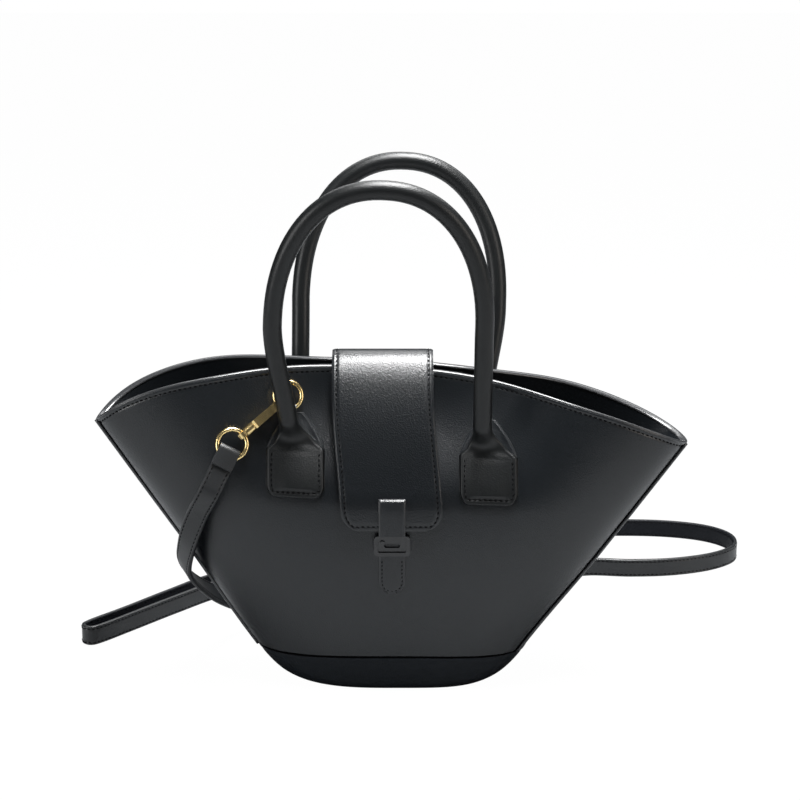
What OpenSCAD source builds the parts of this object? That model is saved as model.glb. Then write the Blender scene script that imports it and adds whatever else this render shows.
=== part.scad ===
// Mini trapeze handbag: two fan-shaped leather panels on a small boat-shaped base, two rolled
// handles, a centre flap with a magnetic snap, and a long strap clipped on with swivel snap hooks.
// X runs to the wearer's right in the front view, Y runs to the back, Z runs up from the ground.

/* [Body] */
// Width between the two top corners
opening_w = 320; // [290:5:350]
// Height of the middle of the rim
rim_h = 175; // [165:1:190]
// Height of the two top corners
corner_h = 139; // [130:1:145]
// Depth of the open mouth over the wings
mouth_d = 58; // [50:1:66]
// Depth of the mouth in the middle, where the flap holds it closed
pinch_d = 19; // [16:1:24]
// How much the panels puff out between base and rim
belly_puff = 8; // [4:0.5:11]
// Thickness of the panel leather
leather_t = 2.4; // [1.8:0.1:2.8]
// Slouch of the soft body to its right, in degrees
slouch = 2.2; // [0:0.1:3]

/* [Base] */
// Width of the base at its seam with the panels
base_w = 149; // [140:1:156]
// Depth of the base at that seam
base_d = 71; // [66:1:76]
// Height of that seam at the ends of the base
base_h = 18; // [14:1:22]
// Width of the flat that the bag stands on
foot_w = 104; // [92:1:116]
// Depth of the flat that the bag stands on
foot_d = 56; // [48:1:60]
// Thickness of the stiffening board inside the base
board_t = 2; // [1:0.1:2.5]

/* [Lining] */
// Thickness of the lining fabric
lining_t = 0.8; // [0.6:0.1:1]
// Height of the leather facing inside the rim
facing_h = 14; // [10:1:18]
// Thickness of that facing
facing_t = 1.2; // [1:0.1:1.4]

/* [Handles] */
// Diameter of a rolled handle
handle_dia = 10; // [8:0.5:11]
// Diameter of the rope core inside it
core_dia = 7; // [5:0.5:7.5]
// Distance between the two legs of a handle at its patches
handle_span = 102; // [98:1:106]
// Half the width of the arch at its widest place, to the middle of the tube
arch_w = 54.5; // [52:0.5:58]
// Height of the arch above its widest place
arch_h = 77; // [70:1:85]
// Length of a leg from its patch to the arch's widest place
leg_l = 58; // [52:0.5:66]
// How far below the rim's highest point the handles leave their patches
neck_drop = 34; // [31:1:37]
// How far the handles lean outwards, in degrees
handle_lean = 10.8; // [9:0.2:14]
// How far the front arch stands to the left
front_sway = 7; // [0:0.5:8]
// How far the back arch stands to the right
back_sway = 4; // [0:0.5:8]
// How far the necks of the front handle already stand off the middle of their patches
neck_shift = 3.5; // [0:0.5:4]
// Width of a handle patch
patch_w = 31; // [27:1:33]
// Height of a handle patch
patch_h = 36; // [32:1:40]
// Thickness of a handle patch
patch_t = 2.2; // [1.6:0.1:2.6]

/* [Flap] */
// Width of the flap
flap_w = 54; // [46:1:60]
// Height of the flap's lower edge
flap_end_h = 95.5; // [92:0.5:100]
// Thickness of the flap's outer leather
flap_t = 1.5; // [1.2:0.1:1.8]
// Thickness of the leather that lines the flap
flap_lining_t = 0.9; // [0.7:0.1:1.2]
// Diameter of the magnetic snap
snap_dia = 14; // [12:0.5:16]
// Width of the closure strip and tab
strip_w = 14; // [12:0.5:16]
// Width of the metal keeper under the strip
keeper_w = 19; // [17:0.5:22]

/* [Hardware] */
// Outside diameter of the ring on the bag
bag_ring_dia = 17; // [16:0.5:19]
// Outside diameter of the ring on the strap
strap_ring_dia = 18; // [18:0.5:20]
// Diameter of the ring wire
wire_dia = 2.4; // [2:0.1:2.6]
// Width of a snap hook across its flat back
hook_w = 4.4; // [4.2:0.1:5]
// Distance from the swivel to the ring in the hook's mouth
hook_reach = 19.3; // [18:0.1:24]
// Slope of the hooks where they lie against the panels, in degrees
hook_slope = 40; // [30:1:45]

/* [Strap] */
// Width of the strap
strap_w = 11.5; // [9:0.5:12]
// Thickness of the strap
strap_t = 2.6; // [2:0.1:3]

/* [Hidden] */
$fn = 48;

// The two faces of the bag, as the sign of Y
FRONT = -1;
BACK = 1;
// Height of the necks
neck_h = rim_h - neck_drop;
// Clearance between pieces that are sewn or lie together
sewn_gap = 0.1;
// Clearance between pieces that move past each other
free_gap = 0.3;
// Clearance of a pin or post in its bore
running_gap = 0.05;

// Small helpers
function unit(v) = v / norm(v);
function ease(k) = let(c = min(1, max(0, k))) c * c * (3 - 2 * c);
function mix(a, b, k) = a + (b - a) * k;
function flat(rows) = [for (row = rows) for (p = row) p];
function turned(row) = [for (i = [len(row) - 1:-1:0]) row[i]];
function span(from, to, steps) = [for (i = [0:steps]) from + (to - from) * i / steps];

// Solid between a stack of closed rings, each ring counter-clockwise seen from its far end. When
// it is closed, the last ring joins the first one instead of ending in a cap.
module loft(rings, closed = false) {
    n = len(rings[0]);
    count = len(rings);
    sides = [for (i = [0:count - (closed ? 1 : 2)]) for (j = [0:n - 1])
        let(a = i * n + j, b = i * n + (j + 1) % n, up = (i + 1) % count * n,
            c = up + (j + 1) % n, d = up + j)
        each [[a, d, c], [a, c, b]]];
    caps = [[for (j = [0:n - 1]) j], [for (j = [n - 1:-1:0]) (count - 1) * n + j]];
    polyhedron(points = flat(rings), faces = concat(sides, closed ? [] : caps), convexity = 6);
}

// Sheet between two grids of points, with both grids' rows in the same order
module sheet(outer, inner) {
    rings = [for (i = [0:len(outer) - 1]) concat(outer[i], turned(inner[i]))];
    n = len(rings[0]);
    last = (len(rings) - 1) * n;
    sides = [for (i = [0:len(rings) - 2]) for (j = [0:n - 1])
        let(a = i * n + j, b = i * n + (j + 1) % n, c = b + n, d = a + n)
        each [[a, d, c], [a, c, b]]];
    ends = [for (j = [0:n / 2 - 2])
        let(b = j + 1, c = n - 2 - j, d = n - 1 - j)
        each [[j, b, c], [j, c, d], [last + j, last + c, last + b], [last + j, last + d, last + c]]];
    polyhedron(points = flat(rings), faces = concat(sides, ends), convexity = 6);
}

// Shape of the soft body
// Fullness of the left and right ends in plan: 2 is an ellipse, more is squarer
left_full = 2.8;
right_full = 4.2;
// How steeply the rim falls towards the left and right corners
left_fall = 2.9;
right_fall = 1.75;
// Rise of the base seam in the middle of each face
seam_rise = 2;
// Half width over which the flap pinches the mouth, and the height where the pinch starts
pinch_half = 80;
pinch_from = rim_h - 70;
// How far the side seams sit round towards the front, in degrees: left, right at rim, right at base
left_turn = 9;
right_turn_rim = 10;
right_turn_base = 25;

function half_w(z) = base_w / 2 + (opening_w - base_w) / 2 * (z - base_h) / (corner_h - base_h);
function puffed(z) = let(k = min(1, max(0, (z - base_h) / (rim_h - base_h))))
    mix(base_d, mouth_d, k) / 2 + belly_puff * sin(180 * k);
function pinch(x, z) = (1 - pinch_d / mouth_d) * exp(-pow(abs(x) / pinch_half, 4))
    * ease((z - pinch_from) / (rim_h - pinch_from));
function depth(x, z) = puffed(z) * (1 - pinch(x, z));
function full(x) = x > 0 ? right_full : left_full;
// Height lost to the slouch, which fades out towards the firm base
function slump(x, z) = x * sin(slouch) * ease((z - base_h) / 60);

// Plan position at angle a (0 at the right end, 270 in front), as shares of half width and depth
function plan_x(a) = cos(a);
function plan_y(a) = sign(sin(a)) * sqrt(1 - pow(abs(cos(a)), full(cos(a))));
function rim_z(c) = rim_h - (rim_h - corner_h) * pow(abs(c), c > 0 ? right_fall : left_fall);
function seam_z(c) = base_h + seam_rise * (1 - c * c);
// Point of the body at plan angle a, k of the way up the panel, off inside the outer surface
function shell_at(a, z, off) = let(c = plan_x(a), x = half_w(z) * c)
    [x - off * c, (depth(x, z) - off) * plan_y(a), z - slump(x, z)];
function shell(a, k, off) = let(c = plan_x(a)) shell_at(a, mix(seam_z(c), rim_z(c), k), off);

// Point of a face at a given x and height up the unslouched panel, off outside the leather
function skin(face, x, z, off) = let(c = abs(x) / (half_w(z) + off))
    [x, face * (depth(x, z) + off) * sqrt(1 - pow(c, full(x))), z - slump(x, z)];
function skin_normal(face, x, z) = -face * unit(cross(
    skin(face, x + 1, z, 0) - skin(face, x - 1, z, 0),
    skin(face, x, z + 1, 0) - skin(face, x, z - 1, 0)));

// Plan angles from one side seam to the other, at height k of the panel
function right_turn(k) = mix(right_turn_base, right_turn_rim, k);
function face_angles(face, k, steps) = face == FRONT
    ? span(180 + left_turn, 360 - right_turn(k), steps)
    : span(-right_turn(k), 180 + left_turn, steps);

// Rows of points over one face at the given fractions of the panel's height. The rows lie closer
// together in the upper half, where the mouth is pinched.
face_steps = 36;
low_levels = span(0, 0.46, 5);
high_levels = span(0.5, 1, 13);
function face_rows(face, levels, off) =
    [for (k = levels) [for (a = face_angles(face, k, face_steps)) shell(a, k, off)]];

module panel(face) {
    levels = concat(low_levels, high_levels);
    color("#202326")
    sheet(face_rows(face, levels, 0), face_rows(face, levels, leather_t));
}

// Base: a shallow boat with a rounded lower edge
base_levels = [0, 0.06, 0.2, 0.45, 0.72, 1];
function base_grow(k) = pow(k, 0.55);
function base_ring(k, off, lift) = [for (a = span(0, 352.5, 47))
    let(c = plan_x(a), g = base_grow(k))
    [(mix(foot_w, base_w, g) / 2 - off) * c, (mix(foot_d, base_d, g) / 2 - off) * plan_y(a),
        max(lift, seam_z(c) * k)]];

module base_panel() {
    color("#10161c")
    loft(concat(
        [for (k = base_levels) base_ring(k, 0, 0)],
        [for (i = [len(base_levels) - 1:-1:2]) base_ring(base_levels[i], leather_t, leather_t)],
        [base_ring(0.12, leather_t, leather_t)]));
}

// Height of the lining's floor, on the board
floor_z = leather_t + board_t + 2 * sewn_gap;
function floor_outline(off) = [for (a = span(0, 352.5, 47))
    [(foot_w / 2 - off) * plan_x(a), (foot_d / 2 - off) * plan_y(a)]];

module base_board() {
    color("#6b5a45")
    translate([0, 0, leather_t + sewn_gap])
    linear_extrude(board_t)
    polygon(floor_outline(leather_t));
}

// Lining: it hangs loose inside the panels, with room for the snap's backing washer
lining_off = leather_t + lining_t + 5 * sewn_gap;
facing_k = facing_h / (rim_h - base_h);

function lining_row(face, w, d, z, off) = [for (a = face_angles(face, 0, face_steps))
    [(w / 2 - off) * plan_x(a), (d / 2 - off) * plan_y(a), z]];
function lining_rows(face, off) = concat(
    [lining_row(face, foot_w, foot_d, floor_z, off)],
    [lining_row(face, mix(foot_w, base_w, 0.62), mix(foot_d, base_d, 0.62), base_h * 0.6, off)],
    face_rows(face, concat(low_levels, [for (k = high_levels) if (k < 1 - facing_k - 0.02) k],
        [1 - facing_k - 0.004]), off));

module lining(face) {
    color("#2b2a29")
    sheet(lining_rows(face, lining_off), lining_rows(face, lining_off + lining_t));
}

module base_lining() {
    color("#2b2a29")
    translate([0, 0, floor_z])
    linear_extrude(lining_t)
    polygon(floor_outline(lining_off + lining_t + sewn_gap));
}

module facing(face) {
    off = leather_t + 2 * sewn_gap;
    levels = concat([1 - facing_k], [for (k = high_levels) if (k > 1 - facing_k + 0.01) k]);
    color("#25282b")
    sheet(face_rows(face, levels, off), face_rows(face, levels, off + facing_t));
}

// Handle patches: a rounded tongue of leather, draped over the panel, with shoulders to the neck
neck_w = 12;
patch_round = 9;
patch_top = neck_h + 5;
patch_bottom = patch_top - patch_h;
shoulder_h = 14;
function patch_half(z) = let(w = patch_w / 2, rise = z - patch_bottom)
    rise < patch_round
    ? w - patch_round + sqrt(max(0, patch_round * patch_round - pow(patch_round - rise, 2)))
    : mix(w, neck_w / 2, ease((z - patch_top + shoulder_h) / shoulder_h));
patch_levels = concat([0, 0.6, 2, 4.5, patch_round], span(patch_round + 6, patch_h, 6));
function patch_rows(face, x0, off) = [for (rise = patch_levels)
    let(z = patch_bottom + rise)
    [for (k = span(-1, 1, 6)) skin(face, x0 - face * k * patch_half(z), z, off)]];

patch_gap = 2 * sewn_gap;
module patch(face, side) {
    x0 = side * handle_span / 2;
    color("#26292b")
    sheet(patch_rows(face, x0, patch_gap + patch_t), patch_rows(face, x0, patch_gap));
}

// Handles: leather rolled round a rope core, with a ball-shaped neck on the hinge line
neck_lift = patch_gap + patch_t + free_gap + handle_dia / 2;
function neck(face, side) = skin(face, side * handle_span / 2, neck_h, 0)
    + neck_lift * skin_normal(face, side * handle_span / 2, neck_h);
function neck_mid(face) = [0, face * max(abs(neck(face, -1)[1]), abs(neck(face, 1)[1])),
    (neck(face, -1)[2] + neck(face, 1)[2]) / 2];

// The hinge line through both necks follows the slouch of the body
module place_handle(face) {
    translate(neck_mid(face))
    rotate([-face * handle_lean, slouch, 0])
    children();
}

// Middle of the tube from the left neck (0) over the arch to the right neck (1): the legs bend
// softly outwards and sideways, and the arch is a little fuller than half an ellipse
leg_steps = 5;
arch_steps = 20;
arch_full = 2.2;
function sway(face, k) = (face == FRONT ? -mix(neck_shift, front_sway, ease(k)) : back_sway * ease(k))
    - leg_l * k * tan(slouch);
function leg_point(face, side, k) = [side * mix(handle_span / 2, arch_w, ease(k)) + sway(face, k),
    0, leg_l * k];
function handle_path(face) = concat(
    [for (k = span(0, 1, leg_steps)) leg_point(face, -1, k)],
    [for (a = span(180 - 180 / arch_steps, 180 / arch_steps, arch_steps - 2))
        [sway(face, 1) + arch_w * sign(cos(a)) * pow(abs(cos(a)), 2 / arch_full), 0,
            leg_l + arch_h * pow(sin(a), 2 / arch_full)]],
    [for (k = span(1, 0, leg_steps)) leg_point(face, 1, k)]);

handle_sides = 16;
function handle_ring(mid, dir, r) = [for (t = span(0, 360 - 360 / handle_sides, handle_sides - 1))
    mid + r * (cos(t) * cross([0, 1, 0], dir) + [0, sin(t), 0])];

// Rings along the tube, with ends rounded like a ball of radius r from angle e inwards
function handle_rings(face, r, e) = let(p = handle_path(face), last = len(p) - 1)
    concat(
        [for (k = span(-e, -e / 3, 2)) handle_ring(p[0] + [0, 0, r * sin(k)], [0, 0, 1], r * cos(k))],
        [for (i = [0:last]) handle_ring(p[i], i == 0 ? [0, 0, 1] : i == last ? [0, 0, -1]
            : unit(p[i + 1] - p[i - 1]), r)],
        [for (k = span(-e / 3, -e, 2)) handle_ring(p[last] + [0, 0, r * sin(k)], [0, 0, -1], r * cos(k))]);

module handle(face) {
    bore_r = core_dia / 2 + sewn_gap;
    cut = acos(bore_r / (handle_dia / 2));
    outer = handle_rings(face, handle_dia / 2, cut);
    p = handle_path(face);
    inner = [for (i = [0:len(p) - 1]) i == 0 ? handle_ring(p[0], [0, 0, 1], bore_r)
        : i == len(p) - 1 ? handle_ring(p[i], [0, 0, -1], bore_r)
        : handle_ring(p[i], unit(p[i + 1] - p[i - 1]), bore_r)];
    color("#232628")
    place_handle(face)
    loft(concat(outer, [for (i = [len(inner) - 1:-1:0]) inner[i]]), closed = true);
}

module handle_core(face) {
    color("#b9a98c")
    place_handle(face)
    loft(handle_rings(face, core_dia / 2, 60));
}

// Flap: it runs over the rims on a round crest, then hangs down in front
crest_y = pinch_d / 2 + 3.6;
crest_z = rim_h - 7.2;
snap_room = 3.2;
// How far the crest stands to the left of the closure
flap_shift = 5;
flap_round = 11;
function flap_gap(z) = 2.5 * free_gap + sewn_gap + (snap_room - free_gap) * ease((crest_z - 1 - z) / 26);
function front_drop(heights, off) = [for (z = heights) [-depth(0, z) - flap_gap(z) - off, z]];
function crest(steps, off) = [for (a = span(0, 180, steps))
    [(crest_y + off) * cos(a), crest_z + (crest_y + off) * sin(a)]];
drop_heights = concat(span(crest_z - 6, flap_end_h + flap_round + 7, 8),
    [for (k = [1, 0.5, 0.22, 0.07, 0]) flap_end_h + flap_round * k]);
function flap_line(off) = concat(crest(14, off), front_drop(drop_heights, off));

// Rows of points across a piece that hangs from the crest with rounded lower corners
function flap_half(z) = let(rise = z - flap_end_h) rise < flap_round
    ? flap_w / 2 - flap_round + sqrt(flap_round * flap_round - pow(flap_round - rise, 2))
    : flap_w / 2;
function flap_mid(z) = -flap_shift * ease((z - flap_end_h) / (crest_z - flap_end_h));
function flap_rows(off) = [for (p = flap_line(off)) let(z = min(p[1], crest_z))
    [for (k = span(-1, 1, 6)) [flap_mid(z) + k * flap_half(max(z, flap_end_h)), p[0], p[1]]]];

module flap() {
    color("#2a2d30")
    sheet(flap_rows(flap_lining_t), flap_rows(flap_lining_t + flap_t));
}

module flap_lining() {
    color("#2f2e2d")
    sheet(flap_rows(0), flap_rows(flap_lining_t));
}

// Anchor: the flap's tail, sewn to the back panel and reaching up to the hinge line of the flap
anchor_l = 22;
anchor_turn = 6;
anchor_t = flap_lining_t + flap_t;
anchor_heights = span(crest_z - anchor_turn, crest_z - anchor_l, 4);
function anchor_rows(off) = concat(
    [[for (k = span(1, -1, 6)) [-flap_shift + k * flap_w / 2, crest_y + off, crest_z - free_gap]]],
    [for (z = anchor_heights) [for (k = span(1, -1, 6))
        skin(BACK, -flap_shift + k * flap_w / 2, z, patch_gap + off)]]);
module flap_anchor() {
    color("#2a2d30")
    sheet(anchor_rows(0), anchor_rows(anchor_t));
}

// Strip of constant section across the bag, from two lines in the Y-Z plane
module across(outer, inner, width) {
    rotate([90, 0, 90])
    linear_extrude(width, center = true)
    polygon(concat(outer, turned(inner)));
}

// Outline in the X-Z plane with its two lower corners rounded, cut through the whole depth
module rounded_below(width, bottom, top, r) {
    rotate([90, 0, 0])
    linear_extrude(mouth_d + base_d, center = true) {
        translate([-width / 2, bottom + r]) square([width, top - bottom - r]);
        translate([-width / 2 + r, bottom]) square([width - 2 * r, r]);
        for (side = [-1, 1])
            translate([side * (width / 2 - r), bottom + r]) circle(r);
    }
}

// Closure: a strip on the flap, and a metal keeper over a leather tab on the panel
strip_top = 113;
strip_t = 1.5;
keeper_h = 11;
keeper_t = 2.4;
keeper_top = flap_end_h - 3.2;
strip_end = keeper_top + free_gap + 0.4;
tab_end = 59;
tab_t = 1.5;

function panel_line(from, to, steps, off) = [for (z = span(from, to, steps)) [-depth(0, z) - off, z]];
function slope_at(z) = atan2(depth(0, z - 1) - depth(0, z + 1), 2);

module closure_strip() {
    on_flap = flap_lining_t + flap_t + sewn_gap;
    heights = span(strip_top, strip_end, 5);
    color("#1d2022")
    across(front_drop(heights, on_flap + strip_t), front_drop(heights, on_flap), strip_w);
}

module closure_tab() {
    color("#1d2022")
    intersection() {
        across(panel_line(keeper_top, tab_end, 6, sewn_gap + tab_t),
            panel_line(keeper_top, tab_end, 6, sewn_gap), strip_w);
        rounded_below(strip_w, tab_end, keeper_top, strip_w / 2 - 0.5);
    }
}

// Puts a piece drawn in the X-Z plane on the panel's middle line, facing out along -Y
module on_panel(z, off) {
    translate([0, -depth(0, z) - off, z])
    rotate([-slope_at(z), 0, 0])
    children();
}

// Plate with round corners in the X-Z plane, from y = 0 outwards
module plate(width, height, thick, r) {
    rotate([90, 0, 0])
    linear_extrude(thick) {
        square([width - 2 * r, height], center = true);
        square([width, height - 2 * r], center = true);
        for (x = [-1, 1]) for (y = [-1, 1])
            translate([x * (width / 2 - r), y * (height / 2 - r)]) circle(r);
    }
}

keeper_rim = 2;
module closure_keeper() {
    color("#0d0d0e")
    on_panel(keeper_top - keeper_h / 2, sewn_gap + tab_t + 2 * sewn_gap) {
        difference() {
            plate(keeper_w, keeper_h, keeper_t, 2);
            translate([0, -keeper_t / 2, 0])
            plate(keeper_w - 2 * keeper_rim, keeper_h - 2 * keeper_rim, keeper_t, 1);
            translate([0, 1, 0])
            plate(strip_w * 0.6, 2.4, keeper_t + 2, 1.1);
        }
        translate([-keeper_w / 2 + keeper_rim + 2.4, -keeper_t / 2 + 0.1, 1.6])
        rotate([90, 0, 0])
        cylinder(h = keeper_t / 2 + 0.2, d = 2.6);
    }
}

// Magnetic snap: a socket on the panel, a stud on the flap, and a washer behind the panel
snap_h = 106;
snap_half = (flap_gap(snap_h) - free_gap - 4 * sewn_gap) / 2 - 0.28;
stud_dia = 5;
stud_l = 1.1;

module snap_female() {
    color("#c9b27a")
    on_panel(snap_h, sewn_gap)
    rotate([90, 0, 0])
    difference() {
        cylinder(h = snap_half, d = snap_dia);
        translate([0, 0, snap_half - stud_l - free_gap])
        cylinder(h = stud_l + 1, d = stud_dia + 2 * free_gap);
    }
}

module snap_male() {
    color("#c9b27a")
    on_panel(snap_h, sewn_gap + snap_half + free_gap)
    rotate([90, 0, 0]) {
        cylinder(h = snap_half, d = snap_dia - 1);
        translate([0, 0, -stud_l]) cylinder(h = stud_l + 0.2, d = stud_dia);
    }
}

washer_t = 0.4;
washer_dia = snap_dia - 3;
module snap_washer() {
    color("#b8b8b8")
    on_panel(snap_h, -leather_t - 7 * sewn_gap - washer_t)
    rotate([90, 0, 0])
    difference() {
        cylinder(h = washer_t, d = washer_dia);
        translate([0, 0, -1]) cylinder(h = washer_t + 2, d = stud_dia);
    }
}

// Hardware chain: bag ring, snap hook, swivel eye, strap ring. It lies along one straight axis
// over the panel, from the bag ring near a handle's neck to the strap ring further out and down.
// The front chain hangs by the left handle leg and the back chain by the right one.
wire_r = wire_dia / 2;
bag_ring_r = bag_ring_dia / 2 - wire_r;
strap_ring_r = strap_ring_dia / 2 - wire_r;
eye_reach = 5.2;
chain_l = bag_ring_r + hook_reach + eye_reach + strap_ring_r;
ring_x = handle_span / 2 + 5;
ring_z = neck_h + 18.5;
ring_lift = 4.5;
chain_lift = 6.5;

// Sign of X of a face's chain
function chain_side(face) = face;
function ring_mid(face) = skin(face, chain_side(face) * ring_x, ring_z, 0)
    + ring_lift * skin_normal(face, chain_side(face) * ring_x, ring_z);
function chain_foot(face) = let(x = chain_side(face) * (ring_x + chain_l * cos(hook_slope)),
    z = ring_z - chain_l * sin(hook_slope))
    skin(face, x, z, 0) + chain_lift * skin_normal(face, x, z);
function chain_dir(face) = unit(ring_mid(face) - chain_foot(face));
function swivel_at(face) = ring_mid(face) - (bag_ring_r + hook_reach) * chain_dir(face);
function chain_normal(face) = skin_normal(face,
    chain_side(face) * (ring_x + chain_l * cos(hook_slope) / 2), ring_z - chain_l * sin(hook_slope) / 2);

// Chain frame: X along the hook to the bag ring, Z out from the panel, origin in the swivel
function chain_azimuth(face) = atan2(chain_dir(face)[1], chain_dir(face)[0]);
function chain_rise(face) = asin(chain_dir(face)[2]);
function chain_roll(face) = let(a = chain_azimuth(face), r = chain_rise(face), n = chain_normal(face))
    atan2(n * [sin(a), -cos(a), 0], n * [-sin(r) * cos(a), -sin(r) * sin(a), cos(r)]);

module in_chain(face) {
    translate(swivel_at(face))
    rotate([0, -chain_rise(face), chain_azimuth(face)])
    rotate([chain_roll(face), 0, 0])
    children();
}

function from_chain(face, p) = let(a = chain_azimuth(face), r = chain_rise(face), o = chain_roll(face),
    q = [p[0], p[1] * cos(o) - p[2] * sin(o), p[1] * sin(o) + p[2] * cos(o)],
    s = [q[0] * cos(r) - q[2] * sin(r), q[1], q[0] * sin(r) + q[2] * cos(r)])
    swivel_at(face) + [s[0] * cos(a) - s[1] * sin(a), s[0] * sin(a) + s[1] * cos(a), s[2]];

module ring(r, wire) {
    rotate_extrude()
    translate([r, 0])
    circle(r = wire);
}

// Width across the mouth and thickness of the hook's spine
mouth_r = wire_r + 0.6;
spine_t = 1.8;
nose_r = mouth_r + spine_t;
post_r = 1.2;
head_r = 1.9;
barrel_r = 2.6;
pin_r = 0.6;
knuckle_r = 1.4;
gate_x = 8.6;
gate_z = -mouth_r - 0.3;
nose_x = hook_reach + 0.15;
nose_start = nose_x - 1.4;
slot_w = 3;
spring_room = 1.5;

// Side view of the hook, in its X-Z plane
module hook_outline() {
    difference() {
        union() {
            translate([3.2, mouth_r]) square([nose_x - 3.2, spine_t]);
            translate([nose_x, 0]) circle(nose_r);
            translate([nose_start, -nose_r]) square([1.4, spine_t]);
            polygon([[2, -2.2], [4, -2.6], [gate_x + 1.4, -mouth_r - 1.2], [gate_x + 3, 0],
                [gate_x + 4, mouth_r + 0.1], [gate_x + 2, nose_r - 0.3], [4, nose_r], [2, 2.2]]);
        }
        translate([nose_x, 0]) circle(mouth_r);
        translate([gate_x + 3.6, -mouth_r]) square([nose_x - gate_x - 3.6, 2 * mouth_r]);
        translate([gate_x, -2 * nose_r]) square([nose_start - gate_x, 2 * nose_r - mouth_r]);
    }
}

module hook(face) {
    color("#c9a558")
    in_chain(face) {
        difference() {
            rotate([90, 0, 0])
            linear_extrude(hook_w, center = true)
            hook_outline();
            // Slot for the gate's tail
            translate([gate_x - knuckle_r - free_gap, -slot_w / 2, -nose_r - 1])
            cube([2 * knuckle_r + 4, slot_w, nose_r + 1 + knuckle_r + gate_z + free_gap]);
            translate([gate_x, 0, gate_z])
            rotate([90, 0, 0])
            cylinder(h = hook_w + 2, r = pin_r + 0.02, center = true);
        }
        // Post and its head, held in the swivel
        translate([-2.2, 0, 0]) rotate([0, 90, 0]) cylinder(h = 4.4, r = post_r);
        translate([-2.7, 0, 0]) rotate([0, 90, 0]) cylinder(h = 0.9, r = head_r);
    }
}

module gate(face) {
    color("#c9a558")
    in_chain(face)
    translate([gate_x, 0, gate_z])
    difference() {
        union() {
            rotate([90, 0, 0]) cylinder(h = slot_w - 0.2, r = knuckle_r, center = true);
            translate([0, -slot_w / 2 + 0.1, -knuckle_r + 0.1])
            cube([nose_start - free_gap - gate_x, slot_w - 0.2, 1.4]);
        }
        rotate([90, 0, 0]) cylinder(h = slot_w + 2, r = pin_r + running_gap, center = true);
        translate([-2 * knuckle_r, -spring_room / 2, -2 * knuckle_r])
        cube([2 * knuckle_r + 1.6, spring_room, 4 * knuckle_r]);
    }
}

module gate_pin(face) {
    color("#b8944c")
    in_chain(face)
    translate([gate_x, 0, gate_z])
    rotate([90, 0, 0])
    cylinder(h = hook_w - 0.1, r = pin_r, center = true);
}

// Torsion spring round the pin, in the notch between the gate's ears
spring_wire = 0.16;
spring_r = pin_r + 0.12 + spring_wire;
spring_turns = 3;
spring_pitch = 0.34;
function spring_ring(a) = [for (t = [0:60:300])
    [(spring_r + spring_wire * cos(t)) * cos(a), spring_pitch * (a / 360 - spring_turns / 2)
        + spring_wire * sin(t), -(spring_r + spring_wire * cos(t)) * sin(a)]];

module gate_spring(face) {
    color("#8d8f92")
    in_chain(face)
    translate([gate_x, 0, gate_z])
    loft([for (a = [0:30:360 * spring_turns]) turned(spring_ring(a))]);
}

module swivel_eye(face) {
    color("#c9a558")
    in_chain(face)
    difference() {
        union() {
            translate([-3.7, 0, 0]) rotate([0, 90, 0]) cylinder(h = 5.2, r = barrel_r);
            translate([-eye_reach, 0, 0]) rotate([90, 0, 0]) cylinder(h = 3, r = 3, center = true);
        }
        // Bore for the post, and the chamber that holds its head
        translate([-2, 0, 0]) rotate([0, 90, 0]) cylinder(h = 5, r = post_r + running_gap);
        translate([-2.9, 0, 0]) rotate([0, 90, 0]) cylinder(h = 1.3, r = head_r + 0.15);
        translate([-eye_reach, 0, 0]) rotate([90, 0, 0]) cylinder(h = 5, r = wire_r + 0.35, center = true);
    }
}

module bag_ring(face) {
    color("#d2b06a")
    in_chain(face)
    translate([hook_reach + bag_ring_r, 0, 0])
    ring(bag_ring_r, wire_r);
}

module strap_ring(face) {
    color("#d2b06a")
    in_chain(face)
    translate([-eye_reach - strap_ring_r, 0, 0])
    ring(strap_ring_r, wire_r);
}

// Leather fold round a ring wire, in the X-Z plane: a long eye that closes to two flat layers
function arc(x, r, from, to) = [for (a = span(from, to, 12)) [x + r * cos(a), r * sin(a)]];
module fold_outline(eye_from, eye_to, hole_r, layer, end) {
    r = hole_r + layer;
    difference() {
        polygon(concat(arc(eye_from, r, 90, 270), [[eye_to, -r], [eye_to + 2, -r + 0.3],
            [eye_to + 6, -layer], [end, -layer], [end, layer], [eye_to + 6, layer],
            [eye_to + 2, r - 0.3], [eye_to, r]]));
        polygon(concat(arc(eye_from, hole_r, 90, 270), arc(eye_to, hole_r, -90, 90)));
    }
}

// Angle between the hook and the strap that hangs from it, in the plane of the panel
strap_turn = 23;
strap_layer = strap_t / 2;
fold_hole = wire_r + 0.15;
strap_end_l = 26;
fold_from = sqrt(pow(strap_ring_r - wire_r, 2) - pow(strap_w / 2, 2)) + fold_hole - 0.5;

module strap_end(face) {
    color("#222527")
    in_chain(face)
    translate([-eye_reach - strap_ring_r, 0, 0])
    rotate([0, 0, 180 + strap_turn])
    rotate([90, 0, 0])
    linear_extrude(strap_w, center = true)
    fold_outline(fold_from, strap_ring_r + 0.2, fold_hole, strap_layer, strap_end_l);
}

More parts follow.
